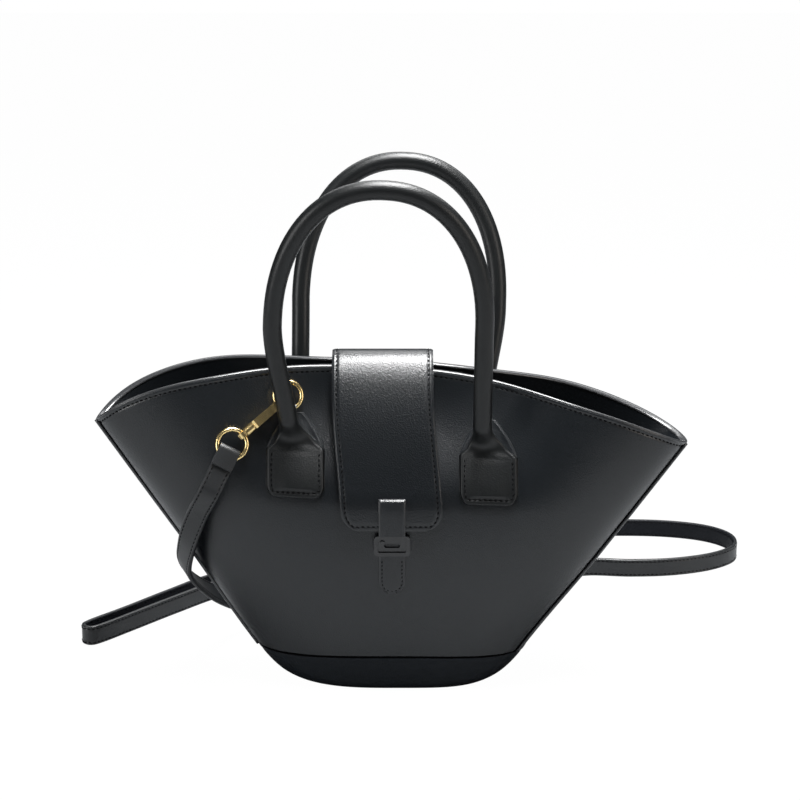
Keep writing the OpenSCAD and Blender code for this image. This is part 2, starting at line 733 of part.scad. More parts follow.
// Ring tab: a short leather loop round the bottom of the bag ring, sewn down above the patch
tab_loop_w = 4;
tab_loop_x = 2.5;
tab_layer = 1;
module ring_tab(face) {
    mid = ring_mid(face) - [face * tab_loop_x, 0, 0];
    foot = skin(face, mid[0], patch_top + free_gap, free_gap + 2 * sewn_gap + tab_layer);
    fall = atan2(-face * (foot[1] - mid[1]), mid[2] - foot[2]);
    hang = sqrt(bag_ring_r * bag_ring_r - tab_loop_x * tab_loop_x);
    reach = norm([foot[1] - mid[1], foot[2] - mid[2]]) - hang;
    r = wire_r + 0.15 + tab_layer;
    color("#26292b")
    difference() {
        translate([mid[0], mid[1], mid[2]])
        rotate([-face * fall, 0, 0])
        translate([0, 0, -hang])
        rotate([90, 0, 90])
        linear_extrude(tab_loop_w, center = true)
        polygon(concat([for (a = span(0, 180, 12)) [r * cos(a), r * sin(a)]],
            [[-tab_layer, -4], [-tab_layer, -reach], [tab_layer, -reach], [tab_layer, -4]]));
        in_chain(face)
        translate([hook_reach + bag_ring_r, 0, 0])
        ring(bag_ring_r, wire_r + 0.15);
    }
}

// Strap: its free length, from one strap end to the other. Each row of the route is a point on
// the strap's middle and the direction of its width there. It hangs down the left side, stands
// on edge on the ground in a loop to the left and one to the right, and rises to the back hook.
strap_start = from_chain(FRONT, [-eye_reach - strap_ring_r - strap_end_l * cos(strap_turn),
    -strap_end_l * sin(strap_turn), 0]);
strap_finish = from_chain(BACK, [-eye_reach - strap_ring_r - strap_end_l * cos(strap_turn),
    -strap_end_l * sin(strap_turn), 0]);
start_dir = unit(strap_start - from_chain(FRONT, [-eye_reach - strap_ring_r, 0, 0]));
finish_dir = unit(strap_finish - from_chain(BACK, [-eye_reach - strap_ring_r, 0, 0]));
start_width = unit(cross(chain_normal(FRONT), start_dir));
finish_width = unit(cross(finish_dir, chain_normal(BACK)));
on_edge = [0, 0, -1];
lie = strap_w / 2 + 0.1;
strap_route = [
    [[-104, -36, 100], [0.9, 0, -0.4]],
    [[-110, -28, 82], [0.77, -0.45, -0.42]],
    [[-113, -12, 64], [0.54, -0.58, -0.55]],
    [[-108, 10, 47], [0.46, -0.58, -0.62]],
    [[-98, 36, 30], [0.3, -0.45, -0.85]],
    [[-84, 62, 16], [0.15, -0.2, -1]],
    [[-64, 86, lie + 2], on_edge],
    [[-42, 104, lie], on_edge],
    [[-36, 124, lie], on_edge],
    [[-52, 138, lie], on_edge],
    [[-80, 134, lie], on_edge],
    [[-106, 116, lie], on_edge],
    [[-130, 88, lie], on_edge],
    [[-152, 60, lie], on_edge],
    [[-168, 40, lie], on_edge],
    [[-174, 36, lie], on_edge],
    [[-178, 40, lie], on_edge],
    [[-175, 47, lie], on_edge],
    [[-158, 68, lie], on_edge],
    [[-136, 97, lie], on_edge],
    [[-112, 126, lie], on_edge],
    [[-76, 152, lie], on_edge],
    [[-20, 178, lie], on_edge],
    [[50, 212, lie], on_edge],
    [[110, 232, lie], on_edge],
    [[165, 236, lie], on_edge],
    [[202, 228, lie], on_edge],
    [[221, 210, lie], on_edge],
    [[222, 186, lie], on_edge],
    [[206, 168, lie], on_edge],
    [[180, 157, lie], on_edge],
    [[152, 154, lie], on_edge],
    [[124, 156, lie], on_edge],
    [[104, 146, lie], on_edge],
    [[95, 124, lie + 1], [0.1, 0, -1]],
    [[94, 98, 14], [0.5, 0.1, -0.9]],
    [[96, 74, 42], [0.9, 0.2, -0.35]],
    [[98, 58, 78], [1, 0, -0.1]]];
first = strap_route[0][0];
final = strap_route[len(strap_route) - 1][0];
strap_points = concat([first - 2 * norm(first - strap_start) * start_dir], [strap_start],
    [for (r = strap_route) r[0]], [strap_finish],
    [final - 2 * norm(final - strap_finish) * finish_dir]);
strap_widths = concat([start_width, start_width], [for (r = strap_route) r[1]],
    [finish_width, finish_width]);

function smooth_at(p, i, t) = 0.5 * (2 * p[i] + (p[i + 1] - p[i - 1]) * t
    + (2 * p[i - 1] - 5 * p[i] + 4 * p[i + 1] - p[i + 2]) * t * t
    + (3 * p[i] - p[i - 1] - 3 * p[i + 1] + p[i + 2]) * t * t * t);
function smooth_slope(p, i, t) = 0.5 * ((p[i + 1] - p[i - 1])
    + 2 * (2 * p[i - 1] - 5 * p[i] + 4 * p[i + 1] - p[i + 2]) * t
    + 3 * (3 * p[i] - p[i - 1] - 3 * p[i + 1] + p[i + 2]) * t * t);

// Half section of the strap with its corners taken off
strap_corner = 0.6;
strap_section = let(a = strap_w / 2, b = strap_t / 2, c = strap_corner)
    [[a, b - c], [a - c, b], [c - a, b], [-a, b - c], [-a, c - b], [c - a, -b], [a - c, -b], [a, c - b]];

function strap_ring_points(i, t) = let(
    at = smooth_at(strap_points, i, t),
    along = unit(smooth_slope(strap_points, i, t)),
    raw = mix(strap_widths[i], strap_widths[i + 1], t),
    w = unit(raw - (raw * along) * along),
    h = cross(along, w))
    [for (s = strap_section) at + s[0] * w + s[1] * h];

strap_steps = 2;
strap_last = len(strap_points) - 2;
strap_rings = concat(
    [for (i = [1:strap_last - 1]) for (s = [0:strap_steps - 1]) strap_ring_points(i, s / strap_steps)],
    [strap_ring_points(strap_last - 1, 1)]);

module strap() {
    color("#222527")
    loft(strap_rings);
}

panel(FRONT);  // front_panel
panel(BACK);  // back_panel
base_panel();
base_board();
lining(FRONT);  // front_lining
lining(BACK);  // back_lining
base_lining();
facing(FRONT);  // front_facing
facing(BACK);  // back_facing
patch(FRONT, -1);  // front_left_patch
patch(FRONT, 1);  // front_right_patch
patch(BACK, -1);  // back_left_patch
patch(BACK, 1);  // back_right_patch
ring_tab(FRONT);  // front_ring_tab
ring_tab(BACK);  // back_ring_tab
flap();
flap_lining();
flap_anchor();
closure_strip();
closure_keeper();
closure_tab();
snap_male();
snap_female();
snap_washer();
handle(FRONT);  // front_handle
handle(BACK);  // back_handle
handle_core(FRONT);  // front_handle_core
handle_core(BACK);  // back_handle_core
bag_ring(FRONT);  // front_bag_ring
bag_ring(BACK);  // back_bag_ring
hook(FRONT);  // front_hook
hook(BACK);  // back_hook
gate(FRONT);  // front_gate
gate(BACK);  // back_gate
gate_pin(FRONT);  // front_gate_pin
gate_pin(BACK);  // back_gate_pin
gate_spring(FRONT);  // front_gate_spring
gate_spring(BACK);  // back_gate_spring
swivel_eye(FRONT);  // front_swivel_eye
swivel_eye(BACK);  // back_swivel_eye
strap_ring(FRONT);  // front_strap_ring
strap_ring(BACK);  // back_strap_ring
strap_end(FRONT);  // front_strap_end
strap_end(BACK);  // back_strap_end
strap();
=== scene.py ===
import math
import bpy
import numpy as np
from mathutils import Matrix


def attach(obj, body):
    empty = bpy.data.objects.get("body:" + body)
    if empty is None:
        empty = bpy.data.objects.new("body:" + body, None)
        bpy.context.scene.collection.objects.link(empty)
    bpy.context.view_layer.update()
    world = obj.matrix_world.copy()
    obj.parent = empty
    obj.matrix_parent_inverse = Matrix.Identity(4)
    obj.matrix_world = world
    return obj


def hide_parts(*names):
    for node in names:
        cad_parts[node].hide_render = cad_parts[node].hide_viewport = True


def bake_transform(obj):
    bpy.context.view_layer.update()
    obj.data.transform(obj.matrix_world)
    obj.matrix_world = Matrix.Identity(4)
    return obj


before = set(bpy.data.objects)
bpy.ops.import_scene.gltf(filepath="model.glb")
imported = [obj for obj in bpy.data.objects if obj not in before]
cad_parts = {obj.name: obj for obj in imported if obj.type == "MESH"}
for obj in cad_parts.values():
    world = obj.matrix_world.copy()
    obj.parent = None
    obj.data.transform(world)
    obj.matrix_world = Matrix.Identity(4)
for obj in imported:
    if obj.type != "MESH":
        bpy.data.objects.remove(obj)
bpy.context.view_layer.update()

# Camera
# The photo is taken a good metre in front of the bag, from a little above its handles, with a
# long lens. Sizes in this file are millimetres, as in the part's source, and become metres here.
MM = 0.001
scene = bpy.context.scene
scene.view_settings.view_transform = "Standard"
camera_data = bpy.data.cameras.new("camera")
camera_data.lens = 90
camera_data.sensor_width = 36
camera_data.shift_x = 0.010
camera_data.clip_start = 0.05
camera = bpy.data.objects.new("camera", camera_data)
camera.location = (0, -1.047, 0.424)
camera.rotation_euler = (math.radians(90 - 14.4), 0, 0)
scene.collection.objects.link(camera)
scene.camera = camera

# Shape of the body
# Two fan-shaped panels on a small base. The mouth is pinched in the middle, where the flap holds
# it closed, and the soft body slouches a little to its right. These are the part's own formulas.
OPENING_W, RIM_H, CORNER_H, MOUTH_D, LEATHER_T = 320, 175, 139, 58, 2.4
PINCH_D, PINCH_W, PINCH_FALL, PUFF = 19, 80, 70, 8
BASE_W, BASE_D, BASE_H, FOOT_W, FOOT_D, SEAM_BOW = 149, 71, 18, 104, 56, 2
SLOUCH, SLOUCH_RISE = math.radians(2.2), 60
LEFT_FULL, RIGHT_FULL, LEFT_FALL, RIGHT_FALL = 2.8, 4.2, 2.9, 1.75
LEFT_TURN, RIGHT_TURN_RIM, RIGHT_TURN_BASE = 9, 10, 25
FRONT, BACK = -1, 1
FACES = ((FRONT, "front"), (BACK, "back"))


def unit(v):
    v = np.asarray(v, float)
    return v / np.maximum(np.linalg.norm(v, axis=-1, keepdims=True), 1e-12)


def ease(k):
    k = np.clip(k, 0, 1)
    return k * k * (3 - 2 * k)


def mix(a, b, k):
    return a + (b - a) * k


def ridge(distance, width):
    """1 at no distance, falling softly to 0 a few widths away."""
    return np.exp(-(distance / width) ** 2)


def half_w(z):
    return BASE_W / 2 + (OPENING_W - BASE_W) / 2 * (z - BASE_H) / (CORNER_H - BASE_H)


def depth(x, z):
    k = np.clip((z - BASE_H) / (RIM_H - BASE_H), 0, 1)
    puffed = mix(BASE_D, MOUTH_D, k) / 2 + PUFF * np.sin(math.pi * k)
    pinch = np.exp(-(np.abs(x) / PINCH_W) ** 4) * ease((z - RIM_H + PINCH_FALL) / PINCH_FALL)
    return puffed * (1 - (1 - PINCH_D / MOUTH_D) * pinch)


def fullness(x):
    return np.where(np.asarray(x) > 0, RIGHT_FULL, LEFT_FULL)


def slump(x, z):
    return x * math.sin(SLOUCH) * ease((z - BASE_H) / SLOUCH_RISE)


def plan_y(a):
    c = np.cos(a)
    return np.sign(np.sin(a)) * np.sqrt(np.clip(1 - np.abs(c) ** fullness(c), 0, 1))


def rim_z(c):
    return RIM_H - (RIM_H - CORNER_H) * np.abs(c) ** np.where(c > 0, RIGHT_FALL, LEFT_FALL)


def seam_z(c):
    return BASE_H + SEAM_BOW * (1 - c * c)


def shell(a, k, off=0.0):
    """Point of the body at plan angle a, k of the way up the panel, off inside its surface."""
    a, k, off = np.broadcast_arrays(np.asarray(a, float), np.asarray(k, float), np.asarray(off, float))
    c = np.cos(a)
    z = mix(seam_z(c), rim_z(c), k)
    x = half_w(z) * c
    return np.stack([x - off * c, (depth(x, z) - off) * plan_y(a), z - slump(x, z)], -1)


def shell_normal(a, k):
    du = shell(a + 0.01, k) - shell(a - 0.01, k)
    dv = shell(a, np.minimum(k + 0.01, 1)) - shell(a, np.minimum(k + 0.01, 1) - 0.02)
    return unit(np.cross(du, dv))


def skin(face, x, z, off=0.0):
    """Point of a face at x and height up the unslouched panel, off outside the leather."""
    x, z, off = np.broadcast_arrays(np.asarray(x, float), np.asarray(z, float), np.asarray(off, float))
    c = np.abs(x) / (half_w(z) + off)
    y = face * (depth(x, z) + off) * np.sqrt(np.clip(1 - c ** fullness(x), 0, 1))
    return np.stack([x, y, z - slump(x, z)], -1)


def skin_normal(face, x, z):
    du = skin(face, np.asarray(x) + 1, z) - skin(face, np.asarray(x) - 1, z)
    dv = skin(face, x, np.asarray(z) + 1) - skin(face, x, np.asarray(z) - 1)
    return -face * unit(np.cross(du, dv))


def seam_angles(face, k):
    """Plan angles of the two side seams at k of the way up, in the order a face is swept."""
    right = np.radians(mix(RIGHT_TURN_BASE, RIGHT_TURN_RIM, np.asarray(k, float)))
    left = np.full_like(right, math.radians(180 + LEFT_TURN))
    return (left, 2 * math.pi - right) if face == FRONT else (-right, left)


def face_grid(face, levels, off, cols=150):
    """Rows of points over one face, from one side seam to the other."""
    levels, off = np.asarray(levels, float), np.asarray(off, float)
    first, last = seam_angles(face, levels)
    angles = first[:, None] + (last - first)[:, None] * np.linspace(0, 1, cols)
    return shell(angles, levels[:, None], off[:, None] if off.ndim == 1 else off)


# Panels
# Each panel is one piece of smooth black leather with a fine grain and a satin top coat. A groove
# runs a little below the rim, where a row of waxed stitches pulls the leather down on its facing.
PANEL_H, RIM_ROW, GROOVE, GROOVE_W, BAND_H, BAND_T = 150.0, 2.4, 0.32, 0.55, 2.2, 0.4
STITCH_L, STITCH_GAP, STITCH_T, STITCH_SLANT = 1.75, 1.0, 0.42, math.radians(7)


def make(name, points, faces, material, slot, body, stands=(), bevel=0.0):
    """One piece from points in millimetres. It rides on a body given by name, or else stays where it is."""
    mesh = bpy.data.meshes.new(name)
    mesh.from_pydata([tuple(p) for p in np.asarray(points, float) * MM], [], faces)
    mesh.materials.append(material)
    mesh.shade_smooth()
    mesh.update()
    obj = bpy.data.objects.new(name, mesh)
    scene.collection.objects.link(obj)
    if bevel:
        round_edges(obj, bevel, 3, 45)
    if isinstance(body, str):
        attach(obj, body)
    else:
        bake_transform(obj)
    if stands:
        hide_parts(*stands)
    return obj


def round_edges(obj, width, segments, degrees):
    rounding = obj.modifiers.new("rounding", "BEVEL")
    rounding.width = width * MM
    rounding.segments = segments
    rounding.limit_method = "ANGLE"
    rounding.angle_limit = math.radians(degrees)
    rounding.harden_normals = True


def sheeted(outer, inner):
    """Points and faces of a sheet between two grids with the same rows."""
    outer, inner = np.asarray(outer, float), np.asarray(inner, float)
    rows, cols = outer.shape[:2]
    points = np.concatenate([outer.reshape(-1, 3), inner.reshape(-1, 3)])
    off = rows * cols
    faces = []
    for i in range(rows - 1):
        for j in range(cols - 1):
            a = i * cols + j
            faces.append((a, a + 1, a + cols + 1, a + cols))
            faces.append((off + a, off + a + cols, off + a + cols + 1, off + a + 1))
    edge = [j for j in range(cols)] + [i * cols + cols - 1 for i in range(1, rows)]
    edge += [(rows - 1) * cols + j for j in range(cols - 2, -1, -1)]
    edge += [i * cols for i in range(rows - 2, 0, -1)]
    for a, b in zip(edge, edge[1:] + edge[:1]):
        faces.append((b, a, off + a, off + b))
    return points, faces


def lofted(rings, closed=False):
    """Points and faces of a solid through rings of equal count, capped unless closed on itself."""
    rings = np.asarray(rings, float)
    count, n = rings.shape[:2]
    faces = []
    for i in range(count if closed else count - 1):
        a, b = i * n, (i + 1) % count * n
        faces += [(a + j, a + (j + 1) % n, b + (j + 1) % n, b + j) for j in range(n)]
    if not closed:
        faces += [tuple(range(n - 1, -1, -1)), tuple((count - 1) * n + j for j in range(n))]
    return rings.reshape(-1, 3), faces


def joined(solids):
    """Points and faces of several solids as those of one piece."""
    points, faces = [], []
    for some_points, some_faces in solids:
        faces += [tuple(i + len(points) for i in f) for f in some_faces]
        points += list(some_points)
    return points, faces


def resampled(path, step, *others):
    """The path at an even step, with other rows of values carried along."""
    path = np.asarray(path, float)
    run = np.concatenate([[0], np.cumsum(np.linalg.norm(np.diff(path, axis=0), axis=1))])
    count = max(2, int(round(run[-1] / step)) + 1)
    at = np.linspace(0, run[-1], count)
    out = [np.stack([np.interp(at, run, np.asarray(v, float)[:, c]) for c in range(3)], 1)
           for v in (path, *others)]
    return out if others else out[0]


def node_group(name, inputs, outputs):
    group = bpy.data.node_groups.new(name, "ShaderNodeTree")
    for label, value in inputs:
        socket = group.interface.new_socket(label, in_out="INPUT", socket_type="NodeSocketFloat")
        socket.default_value = value
    for label in outputs:
        group.interface.new_socket(label, in_out="OUTPUT", socket_type="NodeSocketFloat")
    return group, group.nodes.new("NodeGroupInput"), group.nodes.new("NodeGroupOutput")


def add(tree, kind, values=(), **settings):
    node = tree.nodes.new(kind)
    for key, value in settings.items():
        setattr(node, key, value)
    for key, value in dict(values).items():
        node.inputs[key].default_value = value
    return node


def grain_group():
    """Leather's pebbles with finer creases over them, and broad patches of more or less sheen."""
    group, start, end = node_group("leather_grain", [("Cells", 900), ("Creases", 60)],
                                   ["Height", "Patchiness"])
    link = group.links.new
    place = add(group, "ShaderNodeTexCoord")
    cells = add(group, "ShaderNodeTexVoronoi", {"Randomness": 1.0}, feature="SMOOTH_F1")
    creases = add(group, "ShaderNodeTexNoise", {"Detail": 6.0, "Roughness": 0.6})
    both = add(group, "ShaderNodeMath", {1: 0.3}, operation="MULTIPLY_ADD")
    broad = add(group, "ShaderNodeTexNoise", {"Scale": 22.0, "Detail": 3.0})
    for node, scale in ((cells, "Cells"), (creases, "Creases")):
        link(place.outputs["Object"], node.inputs["Vector"])
        link(start.outputs[scale], node.inputs["Scale"])
    link(place.outputs["Object"], broad.inputs["Vector"])
    link(creases.outputs["Fac"], both.inputs[0])
    link(cells.outputs["Distance"], both.inputs[2])
    link(both.outputs[0], end.inputs["Height"])
    link(broad.outputs["Fac"], end.inputs["Patchiness"])
    return group


def wear_group():
    """Small unevenness of a hard surface, and patches that handling has rubbed smoother."""
    group, start, end = node_group("fine_wear", [("Scale", 300)], ["Height", "Patchiness"])
    link = group.links.new
    place = add(group, "ShaderNodeTexCoord")
    patches = add(group, "ShaderNodeTexNoise", {"Detail": 2.0})
    fine = add(group, "ShaderNodeTexNoise", {"Detail": 5.0, "Roughness": 0.65})
    finer = add(group, "ShaderNodeMath", {1: 6.0}, operation="MULTIPLY")
    for node in (patches, fine):
        link(place.outputs["Object"], node.inputs["Vector"])
    link(start.outputs["Scale"], patches.inputs["Scale"])
    link(start.outputs["Scale"], finer.inputs[0])
    link(finer.outputs[0], fine.inputs["Scale"])
    link(fine.outputs["Fac"], end.inputs["Height"])
    link(patches.outputs["Fac"], end.inputs["Patchiness"])
    return group


GRAIN, WEAR = grain_group(), wear_group()


def surface(name, color, roughness, effect, values, depth, strength, vary=0.0, spread=0.2, metallic=0.0,
            coat=0.0, coat_roughness=0.15, specular=0.5):
    """A material whose relief, and with vary its roughness too, come from an effect's group."""
    material = bpy.data.materials.new(name)
    material.use_nodes = True
    tree = material.node_tree
    shader = tree.nodes["Principled BSDF"]
    for key, value in {"Base Color": (*color, 1), "Roughness": roughness, "Metallic": metallic,
                       "Coat Weight": coat, "Coat Roughness": coat_roughness,
                       "Specular IOR Level": specular}.items():
        shader.inputs[key].default_value = value
    texture = add(tree, "ShaderNodeGroup", node_tree=effect)
    for key, value in values.items():
        texture.inputs[key].default_value = value
    relief = add(tree, "ShaderNodeBump", {"Strength": strength, "Distance": depth})
    tree.links.new(texture.outputs["Height"], relief.inputs["Height"])
    tree.links.new(relief.outputs["Normal"], shader.inputs["Normal"])
    if vary:
        span = {"From Min": 0.5 - spread, "From Max": 0.5 + spread,
                "To Min": roughness - vary / 2, "To Max": roughness + vary / 2}
        tone = add(tree, "ShaderNodeMapRange", span)
        tree.links.new(texture.outputs["Patchiness"], tone.inputs["Value"])
        tree.links.new(tone.outputs["Result"], shader.inputs["Roughness"])
    return material


def leather(name, color, roughness, cells=1500.0, depth=0.00010, coat=0.12, specular=0.5, vary=0.10):
    return surface(name, color, roughness, GRAIN, {"Cells": cells}, depth, 0.8, vary,
                   coat=coat, coat_roughness=0.3, specular=specular)


def rubbed(name, color, roughness, scale=300.0, vary=0.04, depth=0.00002, **settings):
    """Metal, paint, thread or board."""
    return surface(name, color, roughness, WEAR, {"Scale": scale}, depth, 0.5, vary, 0.15, **settings)


panel_leather = leather("panel_leather", (0.0044, 0.0058, 0.0074), 0.33, depth=0.00012, coat=0.06, vary=0.06)
thread = rubbed("thread", (0.0015, 0.0015, 0.002), 0.75, scale=900.0, vary=0.1, depth=0.00006, specular=0.12)


def stitched(name, path, normals, body, length=STITCH_L, gap=STITCH_GAP, thick=STITCH_T):
    """A row of sewn stitches, each a small grain of thread that lies slightly slanted."""
    grain = []
    for u in (-1, -0.8, -0.35, 0.35, 0.8, 1):
        r = math.sqrt(max(0.02, 1 - u * u))
        grain.append([(u, r * math.cos(t), r * math.sin(t)) for t in np.linspace(0, 2 * math.pi, 7)[:-1]])
    path, normals = resampled(path, length + gap, normals)
    along = unit(np.gradient(path, axis=0))
    out = unit(normals - np.sum(normals * along, axis=1, keepdims=True) * along)
    side = np.cross(along, out)
    c, s = math.cos(STITCH_SLANT), math.sin(STITCH_SLANT)
    grains = []
    for p, t, n, b in list(zip(path, along, out, side))[:-1]:
        middle = p + t * (length + gap) / 2
        t, b = t * c + b * s, b * c - t * s
        grains.append(lofted([[middle + u * length / 2 * t + y * thick * b + (z * 0.8 + 0.15) * thick * n
                               for u, y, z in ring] for ring in grain]))
    return make(name, *joined(grains), thread, None, body)


rim_steps = np.array([0, 0.4, 0.9, 1.4, 1.8, 2.1, 2.4, 2.7, 3.1, 3.6, 4.4, 5.6, 7.5])
low_steps = np.array([0, 0.5, 1.1, 1.8, 2.6, 3.6, 5])
panel_levels = np.concatenate([low_steps / PANEL_H, np.linspace(8, PANEL_H - 10, 56) / PANEL_H,
                               1 - rim_steps[::-1] / PANEL_H])
from_rim = (1 - panel_levels) * PANEL_H
relief = GROOVE * ridge(from_rim - RIM_ROW, GROOVE_W)
relief = relief - BAND_T * np.sin(math.pi * np.clip(from_rim / BAND_H, 0, 1))
for face, label in FACES:
    outer = face_grid(face, panel_levels, relief)
    inner = face_grid(face, panel_levels, np.full_like(relief, LEATHER_T))
    make(label + "_panel_leather", *sheeted(outer, inner), panel_leather, "body_leather", "bag",
         [label + "_panel"], bevel=0.5)
    first, last = seam_angles(face, np.array([1.0]))
    along = np.linspace(first[0] + 0.02, last[0] - 0.02, 300)
    row = shell(along, 1 - RIM_ROW / PANEL_H, 0.3)
    stitched(label + "_rim_stitches", row, shell_normal(along, np.full_like(along, 0.98)), "bag")

# Facings and painted rim
# A band of leather faces the inside of the mouth. Panel and facing are sewn together, sanded and
# painted along the rim as one round edge, which shows as the light line along the mouth.
FACING_H, FACING_T, SEWN_GAP = 14, 1.2, 0.1
RIM_EDGE = [(-0.1, -0.9), (-0.25, 0.15), (0.15, 0.75), (0.9, 1.1), (2.0, 1.2), (3.0, 1.1), (3.85, 0.75),
            (4.3, 0.15), (4.25, -0.9)]
EDGE_INWARDS, EDGE_UPWARDS = 0.93, 0.85
edge_paint = rubbed("edge_paint", (0.024, 0.025, 0.027), 0.33, coat=0.4, coat_roughness=0.2)
facing_foot = 1 - FACING_H / (RIM_H - BASE_H)
facing_levels = [facing_foot, facing_foot + 0.004, *np.linspace(facing_foot + 0.012, 1, 16)]
for face, label in FACES:
    off = LEATHER_T + 2 * SEWN_GAP
    outer = face_grid(face, facing_levels, np.full(len(facing_levels), off))
    inner = face_grid(face, facing_levels, np.full(len(facing_levels), off + FACING_T))
    make(label + "_facing_leather", *sheeted(outer, inner), panel_leather, "body_leather", "bag",
         [label + "_facing"], bevel=0.3)
    first, last = seam_angles(face, np.array([1.0]))
    rings = [[shell(a, 1, x * EDGE_INWARDS) + np.array([0, 0, z * EDGE_UPWARDS]) for x, z in RIM_EDGE]
             for a in np.linspace(first[0] + 0.004, last[0] - 0.004, 260)]
    make(label + "_rim_paint", *lofted(rings), edge_paint, "body_leather", "bag")

# Side seams
# The two panels meet at each side in a joint with a narrow painted edge behind it. The joint is a flat
# near-black strip: painted shade of the groove between the edges, over the dark of the glue and thread
# in it. The joint runs a little round the front of the bag, more so at the base on the right.
PAINTED_EDGE = [(-1.0, -0.4), (-1.05, 0.5), (-0.7, 1.2), (0, 1.45), (0.7, 1.2), (1.05, 0.5), (1.0, -0.4)]
JOINT_SHADE = [(-1.0, -0.3), (-1.0, 0.05), (-0.4, 0.14), (0.4, 0.14), (1.0, 0.05), (1.0, -0.3)]
# seam_shade is the near-black of the joints: painted shade of their grooves, over the dark of glue and
# thread.
seam_shade = rubbed("seam_shade", (0.0008, 0.0008, 0.001), 0.88, specular=0.02)


def swept(path, normals, section):
    """Rings of a section (across, outward) along a path whose outward side is given."""
    path, normals = np.asarray(path, float), np.asarray(normals, float)
    along = unit(np.gradient(path, axis=0))
    out = unit(normals - np.sum(normals * along, axis=1, keepdims=True) * along)
    side = np.cross(along, out)
    return [[p + s[0] * b + s[1] * n for s in section] for p, b, n in zip(path, side, out)]


levels = np.linspace(0.0, 1.0, 70)
left, right = seam_angles(FRONT, levels)
for label, angles, behind in (("left", left, -1), ("right", right, 1)):
    path, out = shell(angles, levels), shell_normal(angles, levels)
    # The joint strip of each side seam carries painted shade for the groove between the two edges.
    for piece, outline, finish, shift in (("edge", PAINTED_EDGE, edge_paint, 0.6),
                                          ("joint", JOINT_SHADE, seam_shade, -1.4)):
        section = [(x + behind * shift, y) for x, y in outline]
        make(label + "_seam_" + piece, *lofted(swept(path, out, section)), finish, "body_leather", "bag")

# Base
# A shallow boat of blue-black leather with a fibre board inside. Its colour, darker than the panels', is
# partly the leather's own and partly painted shade of the floor close under it. Its upper edge laps over
# the foot of the panels with a row of stitches and a near-black joint line, painted shade of the groove
# there over a dark joint, and it stands on a flat of its own.
LAP, LAP_ROW, LAP_BEAD, LAP_BEAD_W = 0.45, 0.86, 0.35, 0.03
BASE_JOINT_SHADE = [(0.001, 0.5), (0.001, -0.12), (0.006, -0.16), (0.0105, -0.1), (0.0115, 0.3)]
# The base's dark blue-black is partly its own colour and partly painted shade from the floor beneath it.
base_leather = leather("base_leather", (0.0016, 0.0034, 0.0060), 0.50, coat=0.0, specular=0.22)
fibre_board = rubbed("fibre_board", (0.13, 0.10, 0.07), 0.82, scale=200.0, vary=0.1, depth=0.0002)
turn = np.linspace(0, 2 * math.pi, 181)[:-1]


def base_ring(k, off=0.0, lift=0.0):
    """Ring of the base k of the way up, off inside its surface."""
    grow = k ** 0.55
    return np.stack([(mix(FOOT_W, BASE_W, grow) / 2 - off) * np.cos(turn),
                     (mix(FOOT_D, BASE_D, grow) / 2 - off) * plan_y(turn),
                     np.maximum(lift, seam_z(np.cos(turn)) * k)], -1)


def floor_ring(share, z):
    ring = base_ring(0.0)
    return np.stack([ring[:, 0] * share, ring[:, 1] * share, np.full(len(turn), z)], -1)


def dress(material, slot, *nodes, bevel=0.0):
    """A finish for nodes of the frame whose shape is right as it is."""
    for node in nodes:
        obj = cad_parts[node]
        obj.data.materials.clear()
        obj.data.materials.append(material)
        if bevel:
            round_edges(obj, bevel, 2, 30)


rings = [floor_ring(s, 0.35) for s in (0.2, 0.5, 0.8)] + [floor_ring(0.93, 0.12)]
rings += [base_ring(k, -LAP * ease(k / 0.3) + LAP_BEAD * ridge(k - LAP_ROW, LAP_BEAD_W))
          for k in np.linspace(0, 1, 26) ** 1.5]
rings += [base_ring(1.0, off) + np.array([0, 0, up]) for off, up in ((-LAP, 0.35), (-0.15, 0.6), (0.5, 0.5))]
rings += [base_ring(k, LEATHER_T, LEATHER_T) for k in (0.95, 0.7, 0.45, 0.25, 0.12)]
rings += [floor_ring(0.3, LEATHER_T)]
make("base_leather_cup", *lofted(rings), base_leather, "base_leather", "bag", ["base_panel"])
# The base joint is a near-black strip along the top of the lap: painted shade of the groove there, over a
# dark joint.
rings = [[shell(a, k, off) for k, off in BASE_JOINT_SHADE] for a in turn]
make("base_joint_shade", *lofted(rings, closed=True), seam_shade, "base_leather", "bag")
row = base_ring(LAP_ROW, 0.15)
out = np.stack([np.cos(turn), np.sin(turn), np.zeros(len(turn))], -1)
stitched("base_stitches", np.vstack([row, row[:1]]), np.vstack([out, out[:1]]), "bag")
dress(fibre_board, "board", "base_board", bevel=0.3)

# Lining
# Dark cotton hangs loose inside, with soft vertical folds, and is caught under the facings. Each
# lining is one cut of cloth, sewn at the sides and along the floor.
BOARD_T, LINING_T, LINING_FOLD, LINING_CUT = 2, 0.8, 0.5, (0.33, 0.20)
FLOOR_Z = LEATHER_T + BOARD_T + 2 * SEWN_GAP
LINING_OFF = LEATHER_T + LINING_T + 5 * SEWN_GAP


def weave_group():
    """Threads that cross over and under."""
    group, start, end = node_group("plain_weave", [("Threads", 900)], ["Height"])
    link = group.links.new
    place = add(group, "ShaderNodeTexCoord")
    top = add(group, "ShaderNodeMath", operation="MAXIMUM")
    for i, direction in enumerate(("X", "Z")):
        wave = add(group, "ShaderNodeTexWave", {"Distortion": 0.6, "Detail": 1.0}, bands_direction=direction)
        link(place.outputs["Object"], wave.inputs["Vector"])
        link(start.outputs["Threads"], wave.inputs["Scale"])
        link(wave.outputs["Fac"], top.inputs[i])
    link(top.outputs[0], end.inputs["Height"])
    return group


WEAVE = weave_group()


def cloth(name, color, threads):
    return surface(name, color, 0.85, WEAVE, {"Threads": threads}, 0.0002, 0.6, specular=0.25)


lining_cloth = cloth("lining_cloth", (0.010, 0.010, 0.011), 900.0)


